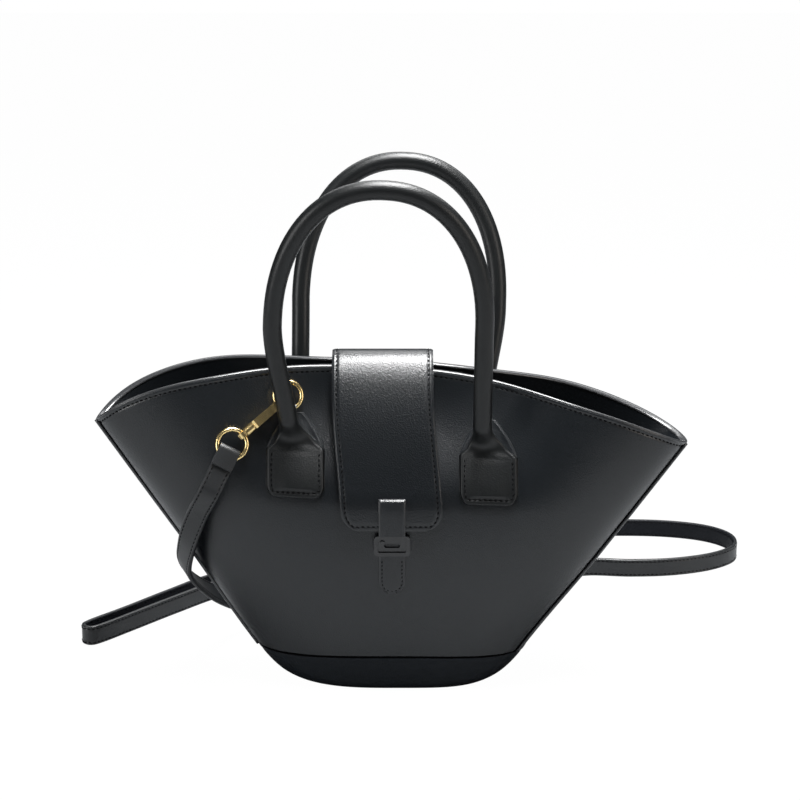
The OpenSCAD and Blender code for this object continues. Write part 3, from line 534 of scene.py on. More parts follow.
def lining_row(face, grow, z, off, cols):
    first, last = seam_angles(face, np.array([0.0]))
    a = np.linspace(first[0], last[0], cols)
    return np.stack([(mix(FOOT_W, BASE_W, grow) / 2 - off) * np.cos(a),
                     (mix(FOOT_D, BASE_D, grow) / 2 - off) * plan_y(a), np.full(cols, z)], -1)


def lining_grid(face, off, cols=120):
    levels, across = np.linspace(0, facing_foot - 0.004, 34), np.linspace(0, 1, cols)
    folds = LINING_FOLD * np.abs(np.sin(across * 61) * np.sin(across * 23 + 1))
    hang = np.sin(np.pi * levels / levels[-1])
    rows = [lining_row(face, 0, FLOOR_Z, off, cols), lining_row(face, 0.62, BASE_H * 0.6, off, cols)]
    return np.array(rows + list(face_grid(face, levels, off + folds[None, :] * hang[:, None], cols)))


for face, label in FACES:
    outer, inner = lining_grid(face, LINING_OFF), lining_grid(face, LINING_OFF + LINING_T)
    obj = make(label + "_lining_cloth", *sheeted(outer, inner), lining_cloth, "lining", "bag",
               [label + "_lining"])
off = LINING_OFF + LINING_T + SEWN_GAP
rings = [np.stack([(FOOT_W / 2 - off) * np.cos(turn) * s, (FOOT_D / 2 - off) * plan_y(turn) * s,
                   np.full(len(turn), FLOOR_Z + h)], -1)
         for s, h in ((0.2, 0), (0.6, 0), (1, 0), (1, LINING_T), (0.6, LINING_T), (0.2, LINING_T))]
obj = make("floor_lining_cloth", *lofted(rings), lining_cloth, "lining", "bag", ["base_lining"])

# Handle patches
# A flat piece of leather is sewn on the panel below each end of a handle. Its two shoulders run
# up to the neck and lap behind the tube.
HANDLE_SPAN, NECK_H, PATCH_W, PATCH_H, PATCH_T, PATCH_R = 102, 141, 31, 36, 2.2, 6.5
PATCH_TOP = NECK_H + 5
PATCH_BOTTOM, WING_TOP, SHOULDER_Z = PATCH_TOP - PATCH_H, PATCH_TOP + 5.5, PATCH_TOP - 14
PATCH_LEATHER_T, EDGE_ROW, EDGE_GROOVE, ROUND_PART = 1.55, 2.9, 0.3, 6.4


def patch_half(z):
    rise = z - PATCH_BOTTOM
    low = PATCH_W / 2 - PATCH_R + np.sqrt(np.clip(PATCH_R ** 2 - (PATCH_R - rise) ** 2, 0, None))
    high = 4 + (PATCH_W / 2 - 4) * (1 - np.clip((z - SHOULDER_Z) / (WING_TOP - SHOULDER_Z), 0, 1) ** 1.6)
    return np.where(rise < PATCH_R, low, high)


patch_rise = np.concatenate([ROUND_PART * np.linspace(0, 1, 16) ** 1.7, np.linspace(8, PATCH_H - 14, 7),
                             np.linspace(PATCH_H - 13, PATCH_H + 5.2, 22), [PATCH_H + 5.5]])
patch_cols = np.array([-1, -0.985, -0.955, -0.92, -0.885, -0.85, -0.81, -0.76, -0.6, -0.4, -0.2])
patch_cols = np.concatenate([patch_cols, [0], -patch_cols[::-1]])
# The stitch row goes down one side, along the bottom and up the other: side (-1 to 1) and height.
left_rows = [(-1, h) for h in (*np.linspace(23, 7, 11), 5.6, 4.5)]
patch_row = left_rows + [(k, 3.0 + 0.9 * abs(k) ** 5) for k in np.linspace(-0.92, 0.92, 9)]
patch_row += [(1, h) for k, h in left_rows[::-1]]
for face, front in FACES:
    for side, where in ((-1, "left"), (1, "right")):
        x0 = side * HANDLE_SPAN / 2
        z = (PATCH_BOTTOM + patch_rise)[:, None]
        half = patch_half(z)
        x = x0 - face * patch_cols * half
        inset = np.minimum((1 - np.abs(patch_cols)) * half, patch_rise[:, None])
        thick = PATCH_LEATHER_T * (0.6 + 0.4 * ease(inset)) - EDGE_GROOVE * ridge(inset - EDGE_ROW, 0.5)
        outer = skin(face, x, z, 2 * SEWN_GAP + thick)
        inner = skin(face, x, z, 2 * SEWN_GAP)
        name = front + "_" + where
        make(name + "_patch_leather", *sheeted(outer, inner), panel_leather, "body_leather", "bag",
             [name + "_patch"], bevel=0.45)
        row = [skin(face, x0 + k * (float(patch_half(PATCH_BOTTOM + h)) - EDGE_ROW), PATCH_BOTTOM + h, 2.75)
               for k, h in patch_row]
        out = [skin_normal(face, x0 + k * 12.0, PATCH_BOTTOM + h) for k, h in patch_row]
        stitched(name + "_patch_stitches", row, out, "bag")

# Handles
# Leather is rolled round a cotton rope. At each neck the roll opens into a padded tongue that is
# sewn down on its patch, so one skin runs from patch to patch. The seam lies inside the arch.
HANDLE_D, ARCH_W, ARCH_H, ARCH_FULL, LEG_L, LEAN = 10, 54.5, 77, 2.2, 58, math.radians(10.8)
FRONT_SWAY, BACK_SWAY, NECK_SHIFT, FREE_GAP = 7, 4, 3.5, 0.3
NECK_LIFT = 2 * SEWN_GAP + PATCH_T + FREE_GAP + HANDLE_D / 2
TONGUE_TOP, FLARE_H, SEAT, TONGUE_T, PAD_T = PATCH_BOTTOM + 24, 17.5, 1.7, 1.25, 1.2
ROLL_SEAM, ROLL_SEAM_W, ROLL_SEAM_AT = 0.35, 0.13, math.pi / 2
STRANDS, STRAND_R, STRAND_OUT, STRAND_TWIST = 3, 1.65, 1.75, 0.32
handle_leather = leather("handle_leather", (0.0042, 0.0050, 0.0054), 0.40, cells=1300.0, coat=0.08,
                         specular=0.36)
rope_cotton = cloth("rope_cotton", (0.42, 0.36, 0.27), 1500.0)


def neck(face, side):
    x = side * HANDLE_SPAN / 2
    return skin(face, x, NECK_H) + NECK_LIFT * skin_normal(face, x, NECK_H)


def neck_middle(face):
    a, b = neck(face, -1), neck(face, 1)
    return np.array([0, face * max(abs(a[1]), abs(b[1])), (a[2] + b[2]) / 2])


def placed(face, p):
    """From the handle's own plane to the bag: leaning outwards and slouched with the body."""
    p = np.asarray(p, float)
    lean = -face * LEAN
    y = p[..., 1] * math.cos(lean) - p[..., 2] * math.sin(lean)
    z = p[..., 1] * math.sin(lean) + p[..., 2] * math.cos(lean)
    x = p[..., 0] * math.cos(SLOUCH) + z * math.sin(SLOUCH)
    z = z * math.cos(SLOUCH) - p[..., 0] * math.sin(SLOUCH)
    return neck_middle(face) + np.stack([x, y, z], -1)


def sway(face, k):
    aside = -mix(NECK_SHIFT, FRONT_SWAY, ease(k)) if face == FRONT else BACK_SWAY * ease(k)
    return aside - LEG_L * k * math.tan(SLOUCH)


def leg(face, side, k):
    return np.stack([side * mix(HANDLE_SPAN / 2, ARCH_W, ease(k)) + sway(face, k), 0 * k, LEG_L * k], -1)


def handle_path(face):
    """Middle line of the rolled part, from a fifth of the way up one leg to the same on the other."""
    a, k = np.linspace(math.pi, 0, 60)[1:-1], np.linspace(0.2, 1, 26)
    across = np.sign(np.cos(a)) * np.abs(np.cos(a)) ** (2 / ARCH_FULL)
    arch = np.stack([sway(face, 1.0) + ARCH_W * across, 0 * a,
                     LEG_L + ARCH_H * np.sin(a) ** (2 / ARCH_FULL)], -1)
    return placed(face, np.concatenate([leg(face, -1, k), arch, leg(face, 1, k[::-1])]))


circle = np.linspace(0, 2 * math.pi, 49)[:-1]
seam_point = len(circle) // 4
across_ring = np.arcsin(np.sin(circle)) / (math.pi / 2)
outside = np.cos(circle) > 1e-6
tongue_heights = np.concatenate([
    np.linspace(NECK_H + 11, TONGUE_TOP + 4, 26), np.linspace(TONGUE_TOP + 3.6, TONGUE_TOP, 10),
    np.linspace(TONGUE_TOP - 0.4, PATCH_BOTTOM + 7, 20),
    PATCH_BOTTOM + ROUND_PART * np.linspace(1, 0.17, 16) ** 1.7])


def tongue_ring(face, side, z):
    """Ring of the padded tongue at a height: flat on the patch inside, padded outside."""
    x0, rise = side * HANDLE_SPAN / 2, z - PATCH_BOTTOM
    flare = min(max(0.0, (z - TONGUE_TOP) / FLARE_H), 1.0)
    wide = float(patch_half(min(z, SHOULDER_Z))) - 0.15 - HANDLE_D / 2
    half = HANDLE_D / 2 + wide * (1 - 0.25 * ease(flare * 4)) * (1 - flare) ** 0.5
    to_side = (1 - np.abs(across_ring)) * half
    inset = np.minimum(to_side, rise - 0.3)
    margin = TONGUE_T * np.sqrt(np.clip(inset / 0.8, 0, 1))
    margin = margin - 0.4 * ridge(inset - EDGE_ROW, 0.6) * (1 - ease(flare * 5))
    pad = PAD_T * ease((to_side - 3.1) / 9) * ease((rise - 3.5) / 2.2)
    crease = 0.15 * ridge(z - TONGUE_TOP + 0.5, 1.3) * ease((to_side - 3) / 6)
    height = np.where(outside, np.maximum(margin + pad - crease, 0.1), 0.0)
    return skin(face, x0 - side * across_ring * half, z, SEAT + height)


for face, front in FACES:
    path = handle_path(face)
    along = unit(np.gradient(path, axis=0))
    out = unit(placed(face, [0, face, 0]) - placed(face, [0, 0, 0]))
    radii = HANDLE_D / 2 - ROLL_SEAM * ridge(circle - ROLL_SEAM_AT, ROLL_SEAM_W)
    tube = [[p + r * (math.cos(t) * out - face * math.sin(t) * np.cross(a, out))
             for t, r in zip(circle, radii)] for p, a in zip(path, along)]
    ends = []
    for side, index in ((-1, 0), (1, -1)):
        start, down = np.array(tube[index]), along[index] * side
        rows = []
        for z in tongue_heights:
            below = max(0.5, path[index][2] - skin(face, side * HANDLE_SPAN / 2, z)[2])
            rolled = start + down * below / abs(down[2])
            rise = float(ease((z - TONGUE_TOP + 0.5) / FLARE_H))
            rows.append(mix(tongue_ring(face, side, z), rolled, rise))
        ends.append(rows)
    name = front + "_handle"
    root = neck_middle(face)
    make(name + "_leather", *lofted(ends[0][::-1] + tube + ends[1]), handle_leather, "handle_leather",
         ("bag", name, (0, root[1], root[2] - 9), (0, root[1], root[2] + 9)), [name])
    seam_side = np.array([ring[seam_point] for ring in tube])
    stitched(name + "_seam_stitches", mix(seam_side, path, 0.04)[8:-8], unit(seam_side - path)[8:-8], name,
             thick=0.34)
    route = resampled(path, 2.2)
    strands = []
    for strand in range(STRANDS):
        rings = []
        for i, (p, a) in enumerate(zip(route, unit(np.gradient(route, axis=0)))):
            side_way, twist = np.cross(a, out), i * STRAND_TWIST + strand * 2 * math.pi / STRANDS
            middle = p + STRAND_OUT * (math.cos(twist) * out + math.sin(twist) * side_way)
            rings.append([middle + STRAND_R * (math.cos(t) * out + math.sin(t) * side_way)
                          for t in np.linspace(0, 2 * math.pi, 9)[:-1]])
        strands.append(lofted(rings))
    make(name + "_rope", *joined(strands), rope_cotton, "rope", name, [name + "_core"])

# Flap
# The flap is sewn to the back panel, comes over both rims on a round crest and hangs down the
# front. Its edge is skived thin outside the stitch line, and it stands a little to the left.
FLAP_W, FLAP_END, FLAP_T, FLAP_LINING_T, FLAP_R, FLAP_SHIFT, ANCHOR_L = 54, 95.5, 1.5, 0.9, 11, 5, 22
CREST_Y, CREST_Z, CREST_TURN = PINCH_D / 2 + 3.6, RIM_H - 7.2, 138
BOW_END, BOW_PULL, SNAP_ROOM, SNAP_FALL = 116.0, 20, 3.2, 26
FLAP_ROW, SKIVED_BY, SKIVE_W, FLAP_GROOVE = 2.5, 0.55, 1.6, 0.4
flap_leather = leather("flap_leather", (0.0034, 0.0046, 0.0060), 0.31, depth=0.00016, vary=0.04)
trim_leather = leather("trim_leather", (0.0065, 0.0078, 0.0095), 0.40, cells=1200.0)


def flap_gap(z):
    return 2.5 * FREE_GAP + SEWN_GAP + (SNAP_ROOM - FREE_GAP) * ease((CREST_Z - 1 - z) / SNAP_FALL)


def flap_line():
    """Inner face of the flap in the Y-Z plane, from the hinge side over the crest to the lower edge,
    with the outward direction at each point. It leaves the crest early and falls in one soft bow."""
    turn = np.radians(np.linspace(0, CREST_TURN, 36))
    crest = np.stack([CREST_Y * np.cos(turn), CREST_Z + CREST_Y * np.sin(turn)], -1)
    a, d = crest[-1], np.array([-float(depth(0, BOW_END)) - flap_gap(BOW_END), BOW_END])
    b = a + BOW_PULL * np.array([-math.sin(turn[-1]), math.cos(turn[-1])])
    c = d + BOW_PULL * unit([float(depth(0, BOW_END - 1) - depth(0, BOW_END + 1)) / 2, 1.0])
    t = np.linspace(0, 1, 46)[1:-1, None]
    bow = a * (1 - t) ** 3 + 3 * b * t * (1 - t) ** 2 + 3 * c * t * t * (1 - t) + d * t ** 3
    z = np.concatenate([np.linspace(BOW_END, FLAP_END + FLAP_R + 0.6, 8), FLAP_END + FLAP_R * np.array(
        [1, 0.8, 0.62, 0.48, 0.36, 0.26, 0.18, 0.11, 0.06, 0.025, 0.008, 0])])
    line = np.concatenate([crest, bow, np.stack([-depth(0, z) - flap_gap(z), z], -1)])
    slope = unit(np.gradient(line, axis=0))
    return line, np.stack([slope[:, 1], -slope[:, 0]], -1)


def flap_half(z):
    rise = z - FLAP_END
    low = FLAP_W / 2 - FLAP_R + math.sqrt(max(0, FLAP_R ** 2 - (FLAP_R - rise) ** 2))
    return low if rise < FLAP_R else FLAP_W / 2


def flap_middle(z):
    return -FLAP_SHIFT * float(ease((z - FLAP_END) / (CREST_Z - FLAP_END))) if z <= CREST_Z else -FLAP_SHIFT


flap_cols = np.array([-1, -0.99, -0.97, -0.945, -0.92, -0.9, -0.88, -0.85, -0.8, -0.65, -0.5, -0.3, -0.1])
flap_cols = np.concatenate([flap_cols, -flap_cols[::-1]])
flap_points, flap_out = flap_line()


def skived(half, rise):
    """How much thinner the leather is across the flap: at its edge and along the stitches."""
    inset = np.minimum((1 - np.abs(flap_cols)) * half, rise)
    return -SKIVED_BY * (1 - ease(inset / SKIVE_W)) - FLAP_GROOVE * ridge(inset - FLAP_ROW, 0.55)


def flap_grid(off, shown=False, tail=True):
    """Rows from the tail over the crest to the lower edge, off outside the flap's inner face."""
    rows = []
    for z in (np.linspace(CREST_Z - ANCHOR_L, CREST_Z - 3, 12) if tail else ()):
        x = -FLAP_SHIFT + flap_cols * FLAP_W / 2
        lift = off + shown * skived(FLAP_W / 2, z - CREST_Z + ANCHOR_L)
        on_panel = skin(BACK, x, z, 2 * SEWN_GAP + lift)
        below_crest = np.stack([x, CREST_Y + lift, np.full(len(x), z)], -1)
        rows.append(mix(on_panel, below_crest, float(ease((z - CREST_Z + 12) / 9))))
    for (y, z), out in zip(flap_points, flap_out):
        half = FLAP_W / 2 if z > CREST_Z else flap_half(z)
        lift = off + shown * skived(half, 30 if z > CREST_Z else z - FLAP_END)
        rows.append(np.stack([flap_middle(z) + flap_cols * half, y + lift * out[0], z + lift * out[1]], -1))
    return np.array(rows)


over_hinge = ("bag", "flap", (0, 13.5, 168), (0, 6, 168))
inner, outer = flap_grid(FLAP_LINING_T), flap_grid(FLAP_LINING_T + FLAP_T, shown=True)
make("flap_leather_skin", *sheeted(inner, outer), flap_leather, "body_leather", over_hinge,
     ["flap", "flap_anchor"], bevel=0.45)
inner, outer = flap_grid(0.0, tail=False), flap_grid(FLAP_LINING_T - 0.05, tail=False)
make("flap_lining_leather", *sheeted(inner, outer), trim_leather, "trim_leather", over_hinge,
     ["flap_lining"], bevel=0.2)
# The stitch row: its middle, how far it stands from that, and where it is on the flap's line.
left_row = [(flap_middle(z), -max(flap_half(z) - FLAP_ROW, 0), y, z, out)
            for (y, z), out in zip(flap_points, flap_out) if z > FLAP_END + 3.2]
y, z, out, half = flap_points[-4][0], FLAP_END + FLAP_ROW, flap_out[-4], flap_half(FLAP_END + 3.2) - 2.6
low_row = [(flap_middle(z), k * half, y, z, out) for k in (-0.9, -0.5, 0, 0.5, 0.9)]
flap_row = left_row + low_row + [(m, -h, y, z, out) for m, h, y, z, out in left_row[::-1]]
lift = FLAP_LINING_T + FLAP_T - 0.35
row = [[m + h, y + lift * out[0], z + lift * out[1]] for m, h, y, z, out in flap_row]
stitched("flap_stitches", row, [[0, out[0], out[1]] for m, h, y, z, out in flap_row], over_hinge)

# Closure
# A folded strip comes down from the flap to a black enamelled keeper, and a stitched tab with a
# round end goes on below it. The snap that holds the flap, of plated steel, is under the strip.
STRIP_TOP, STRIP_W, TAB_END, TAB_T, KEEPER_TOP = 113, 14, 59, 1.6, FLAP_END - 3.2
STRIP_END, STRIP_LOW_T, STRIP_FOLD_T, FOLD_R = KEEPER_TOP + FREE_GAP + 0.9, 0.9, 1.5, 1.4
TAB_R, TAB_ROW = STRIP_W / 2, 5.3
enamel = rubbed("enamel", (0.003, 0.003, 0.004), 0.3, vary=0.03, depth=0.00001, coat=0.5, coat_roughness=0.08)
plated = rubbed("plated", (0.50, 0.46, 0.36), 0.31, metallic=1.0)


def strip_piece(name, heights, thicks, halves, on_flap, body, stands):
    """A strip that lies on the panel or on the flap, with a groove along each edge."""
    cols = np.array([-1, -0.96, -0.88, -0.8, -0.73, -0.6, -0.3, 0, 0.3, 0.6, 0.73, 0.8, 0.88, 0.96, 1])
    outer, inner = [], []
    for z, half, thick in zip(heights, halves, thicks):
        under = flap_gap(z) + FLAP_LINING_T + FLAP_T if on_flap else 0.0
        y = -float(depth(0, z)) - under - SEWN_GAP
        inset = (1 - np.abs(cols)) * half
        t = thick * (0.7 + 0.3 * ease(inset / 0.9)) - 0.3 * ridge(inset - 1.7, 0.4)
        outer.append(np.stack([cols * half, y - t, np.full(len(cols), z)], -1))
        inner.append(np.stack([cols * half, np.full(len(cols), y), np.full(len(cols), z)], -1))
    return make(name, *sheeted(inner, outer), trim_leather, "trim_leather", body, stands, bevel=0.3)


fall = np.concatenate([[0, 0.06, 0.2, 0.4, 0.7, 1.0, FOLD_R], np.linspace(2, STRIP_TOP - STRIP_END, 18)])
thicks = STRIP_LOW_T + STRIP_FOLD_T * np.sqrt(1 - (1 - np.clip(fall / FOLD_R, 0, 1)) ** 2)
strip_piece("closure_strip_leather", STRIP_TOP - fall, thicks, np.full(len(fall), STRIP_W / 2), True,
            "flap", ["closure_strip"])
rise = np.array([0, 0.1, 0.3, 0.7, 1.3, 2.1, 3.2, 4.6, 6.2, 7.0, 9, 12, 16, 20, 25, 30, KEEPER_TOP - TAB_END])
halves = np.where(rise < TAB_R, np.sqrt(np.clip(TAB_R ** 2 - (TAB_R - rise) ** 2, 0.04, None)), STRIP_W / 2)
strip_piece("closure_tab_leather", (TAB_END + rise)[::-1], np.full(len(rise), TAB_T), halves[::-1], False,
            "bag", ["closure_tab"])
tab_row = [(-TAB_ROW, z) for z in np.linspace(KEEPER_TOP - 14, TAB_END + TAB_R, 8)]
tab_row += [(-TAB_ROW * math.cos(a), TAB_END + TAB_R - TAB_ROW * math.sin(a))
            for a in np.linspace(0.2, math.pi - 0.2, 9)]
tab_row += [(TAB_ROW, z) for z in np.linspace(TAB_END + TAB_R, KEEPER_TOP - 14, 8)]
stitched("closure_tab_stitches", [[x, -float(depth(0, z)) - 1.5, z] for x, z in tab_row],
         np.tile([0.0, -1.0, 0.0], (len(tab_row), 1)), "bag", length=1.4, gap=0.8, thick=0.3)
dress(enamel, "black_metal", "closure_keeper", bevel=0.45)
dress(plated, "snap_metal", "snap_male", "snap_female", "snap_washer", bevel=0.1)

# Rings and snap hooks
# Pale gold plated zinc: the ring on the bag, the swivel snap hook through it, and the ring that
# holds the strap. The frame has their true shape, so they keep it; the hooks, gates and swivel eyes get
# rounded edges.
gold = rubbed("gold", (0.96, 0.73, 0.34), 0.24, metallic=1.0)
spring_wire = rubbed("spring_wire", (0.42, 0.42, 0.43), 0.24, metallic=1.0)
for face, front in FACES:
    dress(gold, "gold_metal", front + "_bag_ring", front + "_strap_ring", front + "_gate_pin")
    dress(gold, "gold_metal", front + "_hook", front + "_gate", front + "_swivel_eye", bevel=0.25)
    dress(spring_wire, "spring_steel", front + "_gate_spring")

# Strap ends and ring tabs
# The strap is folded round its ring and sewn on itself, with the cut end of the upper layer on
# show. On the bag a short leather loop holds each bag ring down above the patch.
WIRE_R, BAG_RING_R, STRAP_RING_R, HOOK_REACH, EYE_REACH, RING_HANG = 1.2, 7.3, 7.8, 19.3, 5.2, 2.5
HOOK_SLOPE, RING_X, RING_Z = math.radians(40), HANDLE_SPAN / 2 + 5, NECK_H + 18.5
RING_LIFT, CHAIN_LIFT = 4.5, 6.5
CHAIN_L = BAG_RING_R + HOOK_REACH + EYE_REACH + STRAP_RING_R
STRAP_W, STRAP_T, STRAP_TURN, STRAP_END_L, TAB_W, TAB_LAYER = 11.5, 2.6, math.radians(23), 26, 4, 0.92
LAYER, FOLD_HOLE = STRAP_T / 2, WIRE_R + 0.15
FOLD_FROM = math.sqrt((STRAP_RING_R - WIRE_R) ** 2 - (STRAP_W / 2) ** 2) + FOLD_HOLE - 0.5
FOLD_TO, FOLD_CUT = STRAP_RING_R + 0.2, 14.0
strap_leather = leather("strap_leather", (0.0065, 0.0075, 0.0086), 0.42, cells=1200.0)


def chain(face):
    """Ring's middle, swivel, and the chain's directions: to the ring, across and off the panel."""
    x, z = face * RING_X, RING_Z
    run, fall = face * CHAIN_L * math.cos(HOOK_SLOPE), CHAIN_L * math.sin(HOOK_SLOPE)
    ring = skin(face, x, z) + RING_LIFT * skin_normal(face, x, z)
    foot = skin(face, x + run, z - fall) + CHAIN_LIFT * skin_normal(face, x + run, z - fall)
    along = unit(ring - foot)
    lift = skin_normal(face, x + run / 2, z - fall / 2)
    lift = unit(lift - (lift @ along) * along)
    return ring, ring - (BAG_RING_R + HOOK_REACH) * along, along, np.cross(lift, along), lift


def in_strap_end(face, p):
    """From the strap end's own plane, with its ring's middle at the origin, to the bag."""
    p = np.asarray(p, float)
    ring, swivel, along, across, lift = chain(face)
    c, s = math.cos(math.pi + STRAP_TURN), math.sin(math.pi + STRAP_TURN)
    x = -EYE_REACH - STRAP_RING_R + p[..., :1] * c - p[..., 1:2] * s
    return swivel + x * along + (p[..., :1] * s + p[..., 1:2] * c) * across + p[..., 2:3] * lift


def rounded(width, height, lip, foot):
    """Section of a strip with rounded corners, whose lower side lies at foot."""
    points = []
    for cx, cy, start in ((1, 1, 0), (-1, 1, 90), (-1, -1, 180), (1, -1, 270)):
        for a in np.radians(np.linspace(start, start + 90, 4)):
            points.append((cx * (width / 2 - lip) + lip * math.cos(a),
                           foot + height / 2 + cy * (height / 2 - lip) + lip * math.sin(a)))
    return points


def fold_line():
    """Middle of the folded strap from the cut end round the ring's wire to the long part."""
    r = FOLD_HOLE + LAYER / 2
    line = [(FOLD_CUT, 1.5 * LAYER), (FOLD_CUT - 3, 1.5 * LAYER), (FOLD_TO + 2, mix(1.5 * LAYER, r, 0.4))]
    line += [(mix(FOLD_TO, FOLD_FROM, k), r) for k in (0, 0.33, 0.66)]
    line += [(FOLD_FROM + r * math.cos(a), r * math.sin(a))
             for a in np.linspace(math.pi / 2, 3 * math.pi / 2, 17)]
    line += [(mix(FOLD_FROM, FOLD_TO, k), -r) for k in (0.33, 0.66, 1)]
    line += [(FOLD_TO + 2, -mix(LAYER, r, 0.5)), (FOLD_TO + 5, -LAYER / 2), (FOLD_CUT - 1, -LAYER / 2)]
    return resampled([(x, 0, z) for x, z in line], 0.7)


strap_ends = []
for face, front in FACES:
    line = fold_line()
    slope = unit(np.gradient(line, axis=0))
    out = np.stack([slope[:, 2], 0 * slope[:, 0], -slope[:, 0]], -1)
    half = LAYER / 2 - 0.04
    rings = np.array(swept(line, out, rounded(STRAP_W, 2 * half, 0.35, -half)))
    fold = make(front + "_strap_fold", *lofted(in_strap_end(face, rings)), strap_leather, "strap_leather",
                "bag", [front + "_strap_end"])
    strap_ends += [fold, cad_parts[front + "_strap_ring"]]
    # The tab's loop goes up from the patch, round the ring's wire and back down.
    middle = chain(face)[0] - np.array([face * RING_HANG, 0, 0])
    foot = skin(face, middle[0], PATCH_TOP + FREE_GAP, SEWN_GAP + 1)
    fall = unit([0, foot[1] - middle[1], foot[2] - middle[2]])
    hang = math.sqrt(BAG_RING_R ** 2 - RING_HANG ** 2)
    wire = middle + hang * fall
    normal = np.array([0, face * abs(fall[2]), abs(fall[1]) if face * fall[1] > 0 else -abs(fall[1])])
    normal = unit(normal - (normal @ fall) * fall)
    reach = np.linalg.norm(foot - middle) - hang
    r = WIRE_R + 0.15 + 0.5
    up = [(d, 0.5) for d in np.linspace(reach, 3.2, 5)] + [(2.4, 0.8), (1.6, 1.25)]
    loop = [wire + d * fall + h * normal for d, h in up]
    loop += [wire + r * (math.cos(a) * fall + math.sin(a) * normal)
             for a in np.linspace(0.9, 2 * math.pi - 0.9, 19)]
    loop += [wire + d * fall - h * normal for d, h in up[::-1]]
    loop = resampled(loop, 0.5)
    out = np.cross(unit(np.gradient(loop, axis=0)), np.array([1.0, 0, 0]))
    section = rounded(TAB_W, TAB_LAYER, 0.3, -TAB_LAYER / 2)
    make(front + "_ring_loop", *lofted(swept(loop, out, section)), trim_leather, "body_leather", "bag",
         [front + "_ring_tab"])

# Strap
# A flat leather strap, sewn along both edges and darker on its reverse: the reverse is a duller backing,
# and its dark colour is also painted shade for the inner runs of the loops. It hangs down the left side,
# stands on its edge on the ground in a loop to the left and one to the right, and rises to the hook at
# the back. The route's points and the strap's width there are the part's own.
EDGE_UP, LIE, EDGE_LINE = (0, 0, -1), STRAP_W / 2 + 0.1, 1.6
ROUTE = [
    ((-104, -36, 100), (0.9, 0, -0.4)), ((-110, -28, 82), (0.77, -0.45, -0.42)),
    ((-113, -12, 64), (0.54, -0.58, -0.55)), ((-108, 10, 47), (0.46, -0.58, -0.62)),
    ((-98, 36, 30), (0.3, -0.45, -0.85)), ((-84, 62, 16), (0.15, -0.2, -1)),
    ((-64, 86, LIE + 2), EDGE_UP), ((-42, 104, LIE), EDGE_UP), ((-36, 124, LIE), EDGE_UP),
    ((-52, 138, LIE), EDGE_UP), ((-80, 134, LIE), EDGE_UP), ((-106, 116, LIE), EDGE_UP),
    ((-130, 88, LIE), EDGE_UP), ((-152, 60, LIE), EDGE_UP), ((-168, 40, LIE), EDGE_UP),
    ((-174, 36, LIE), EDGE_UP), ((-178, 40, LIE), EDGE_UP), ((-175, 47, LIE), EDGE_UP),
    ((-158, 68, LIE), EDGE_UP), ((-136, 97, LIE), EDGE_UP), ((-112, 126, LIE), EDGE_UP),
    ((-76, 152, LIE), EDGE_UP), ((-20, 178, LIE), EDGE_UP), ((50, 212, LIE), EDGE_UP),
    ((110, 232, LIE), EDGE_UP), ((165, 236, LIE), EDGE_UP), ((202, 228, LIE), EDGE_UP),
    ((221, 210, LIE), EDGE_UP), ((222, 186, LIE), EDGE_UP), ((206, 168, LIE), EDGE_UP),
    ((180, 157, LIE), EDGE_UP), ((152, 154, LIE), EDGE_UP), ((124, 156, LIE), EDGE_UP),
    ((104, 146, LIE), EDGE_UP), ((95, 124, LIE + 1), (0.1, 0, -1)), ((94, 98, 14), (0.5, 0.1, -0.9)),
    ((96, 74, 42), (0.9, 0.2, -0.35)), ((98, 58, 78), (1, 0, -0.1))]
# The strap's reverse is a duller, darker backing whose darkness is partly painted shade of the loops' inner
# runs.
strap_back_and_shade = leather("strap_back_and_shade", (0.0016, 0.0024, 0.0045), 0.55, cells=1200.0, coat=0.0, specular=0.2)


def strap_end_at(face):
    """Where the free strap leaves its fold, and the direction there."""
    end = in_strap_end(face, (STRAP_END_L, 0, 0))
    return end, unit(end - in_strap_end(face, (0, 0, 0)))


start, start_way = strap_end_at(FRONT)
finish, finish_way = strap_end_at(BACK)
route = [np.array(p, float) for p, w in ROUTE]
start_w = unit(np.cross(chain(FRONT)[4], start_way))
finish_w = unit(np.cross(finish_way, chain(BACK)[4]))
knots = [route[0] - 2 * np.linalg.norm(route[0] - start) * start_way, start, *route, finish,
         route[-1] - 2 * np.linalg.norm(route[-1] - finish) * finish_way]
widths = [start_w, start_w, *[np.array(w, float) for p, w in ROUTE], finish_w, finish_w]
under_fold = (STRAP_END_L - FOLD_TO - 4, 7, 3.5)
centres, sides = [start - start_way * d for d in under_fold], [start_w] * 3
for i in range(1, len(knots) - 2):
    a, b, c, d = knots[i - 1:i + 3]
    for t in np.linspace(0, 1, 15)[:-1 if i < len(knots) - 3 else None]:
        centres.append(0.5 * (2 * b + (c - a) * t + (2 * a - 5 * b + 4 * c - d) * t * t
                              + (3 * b - a - 3 * c + d) * t ** 3))
        sides.append(mix(widths[i], widths[i + 1], t))
centres += [finish - finish_way * d for d in under_fold[::-1]]
centres, sides = resampled(centres, 1.5, sides + [finish_w] * 3)
along = unit(np.gradient(centres, axis=0))
sides = unit(sides - np.sum(sides * along, axis=1, keepdims=True) * along)
outward = np.cross(along, sides)
a, b = STRAP_W / 2, STRAP_T / 2
quarter = [(a, 0), (a - 0.05, b * 0.5), (a - 0.35, b * 0.88), (a - 0.8, b), (a - 1.3, b),
           (a - EDGE_LINE, b - 0.28), (a - 1.9, b), (a - 2.4, b), (a - 4, b)]
upper = quarter + [(-x, y) for x, y in quarter[::-1]]
section = upper[:-1] + [(-x, -y) for x, y in upper[1:-1]]
rings = [[p + x * w + y * h for x, y in section] for p, w, h in zip(centres, sides, outward)]
strap = make("shoulder_strap", *lofted(rings), strap_leather, "strap_leather", "bag", ["strap"])
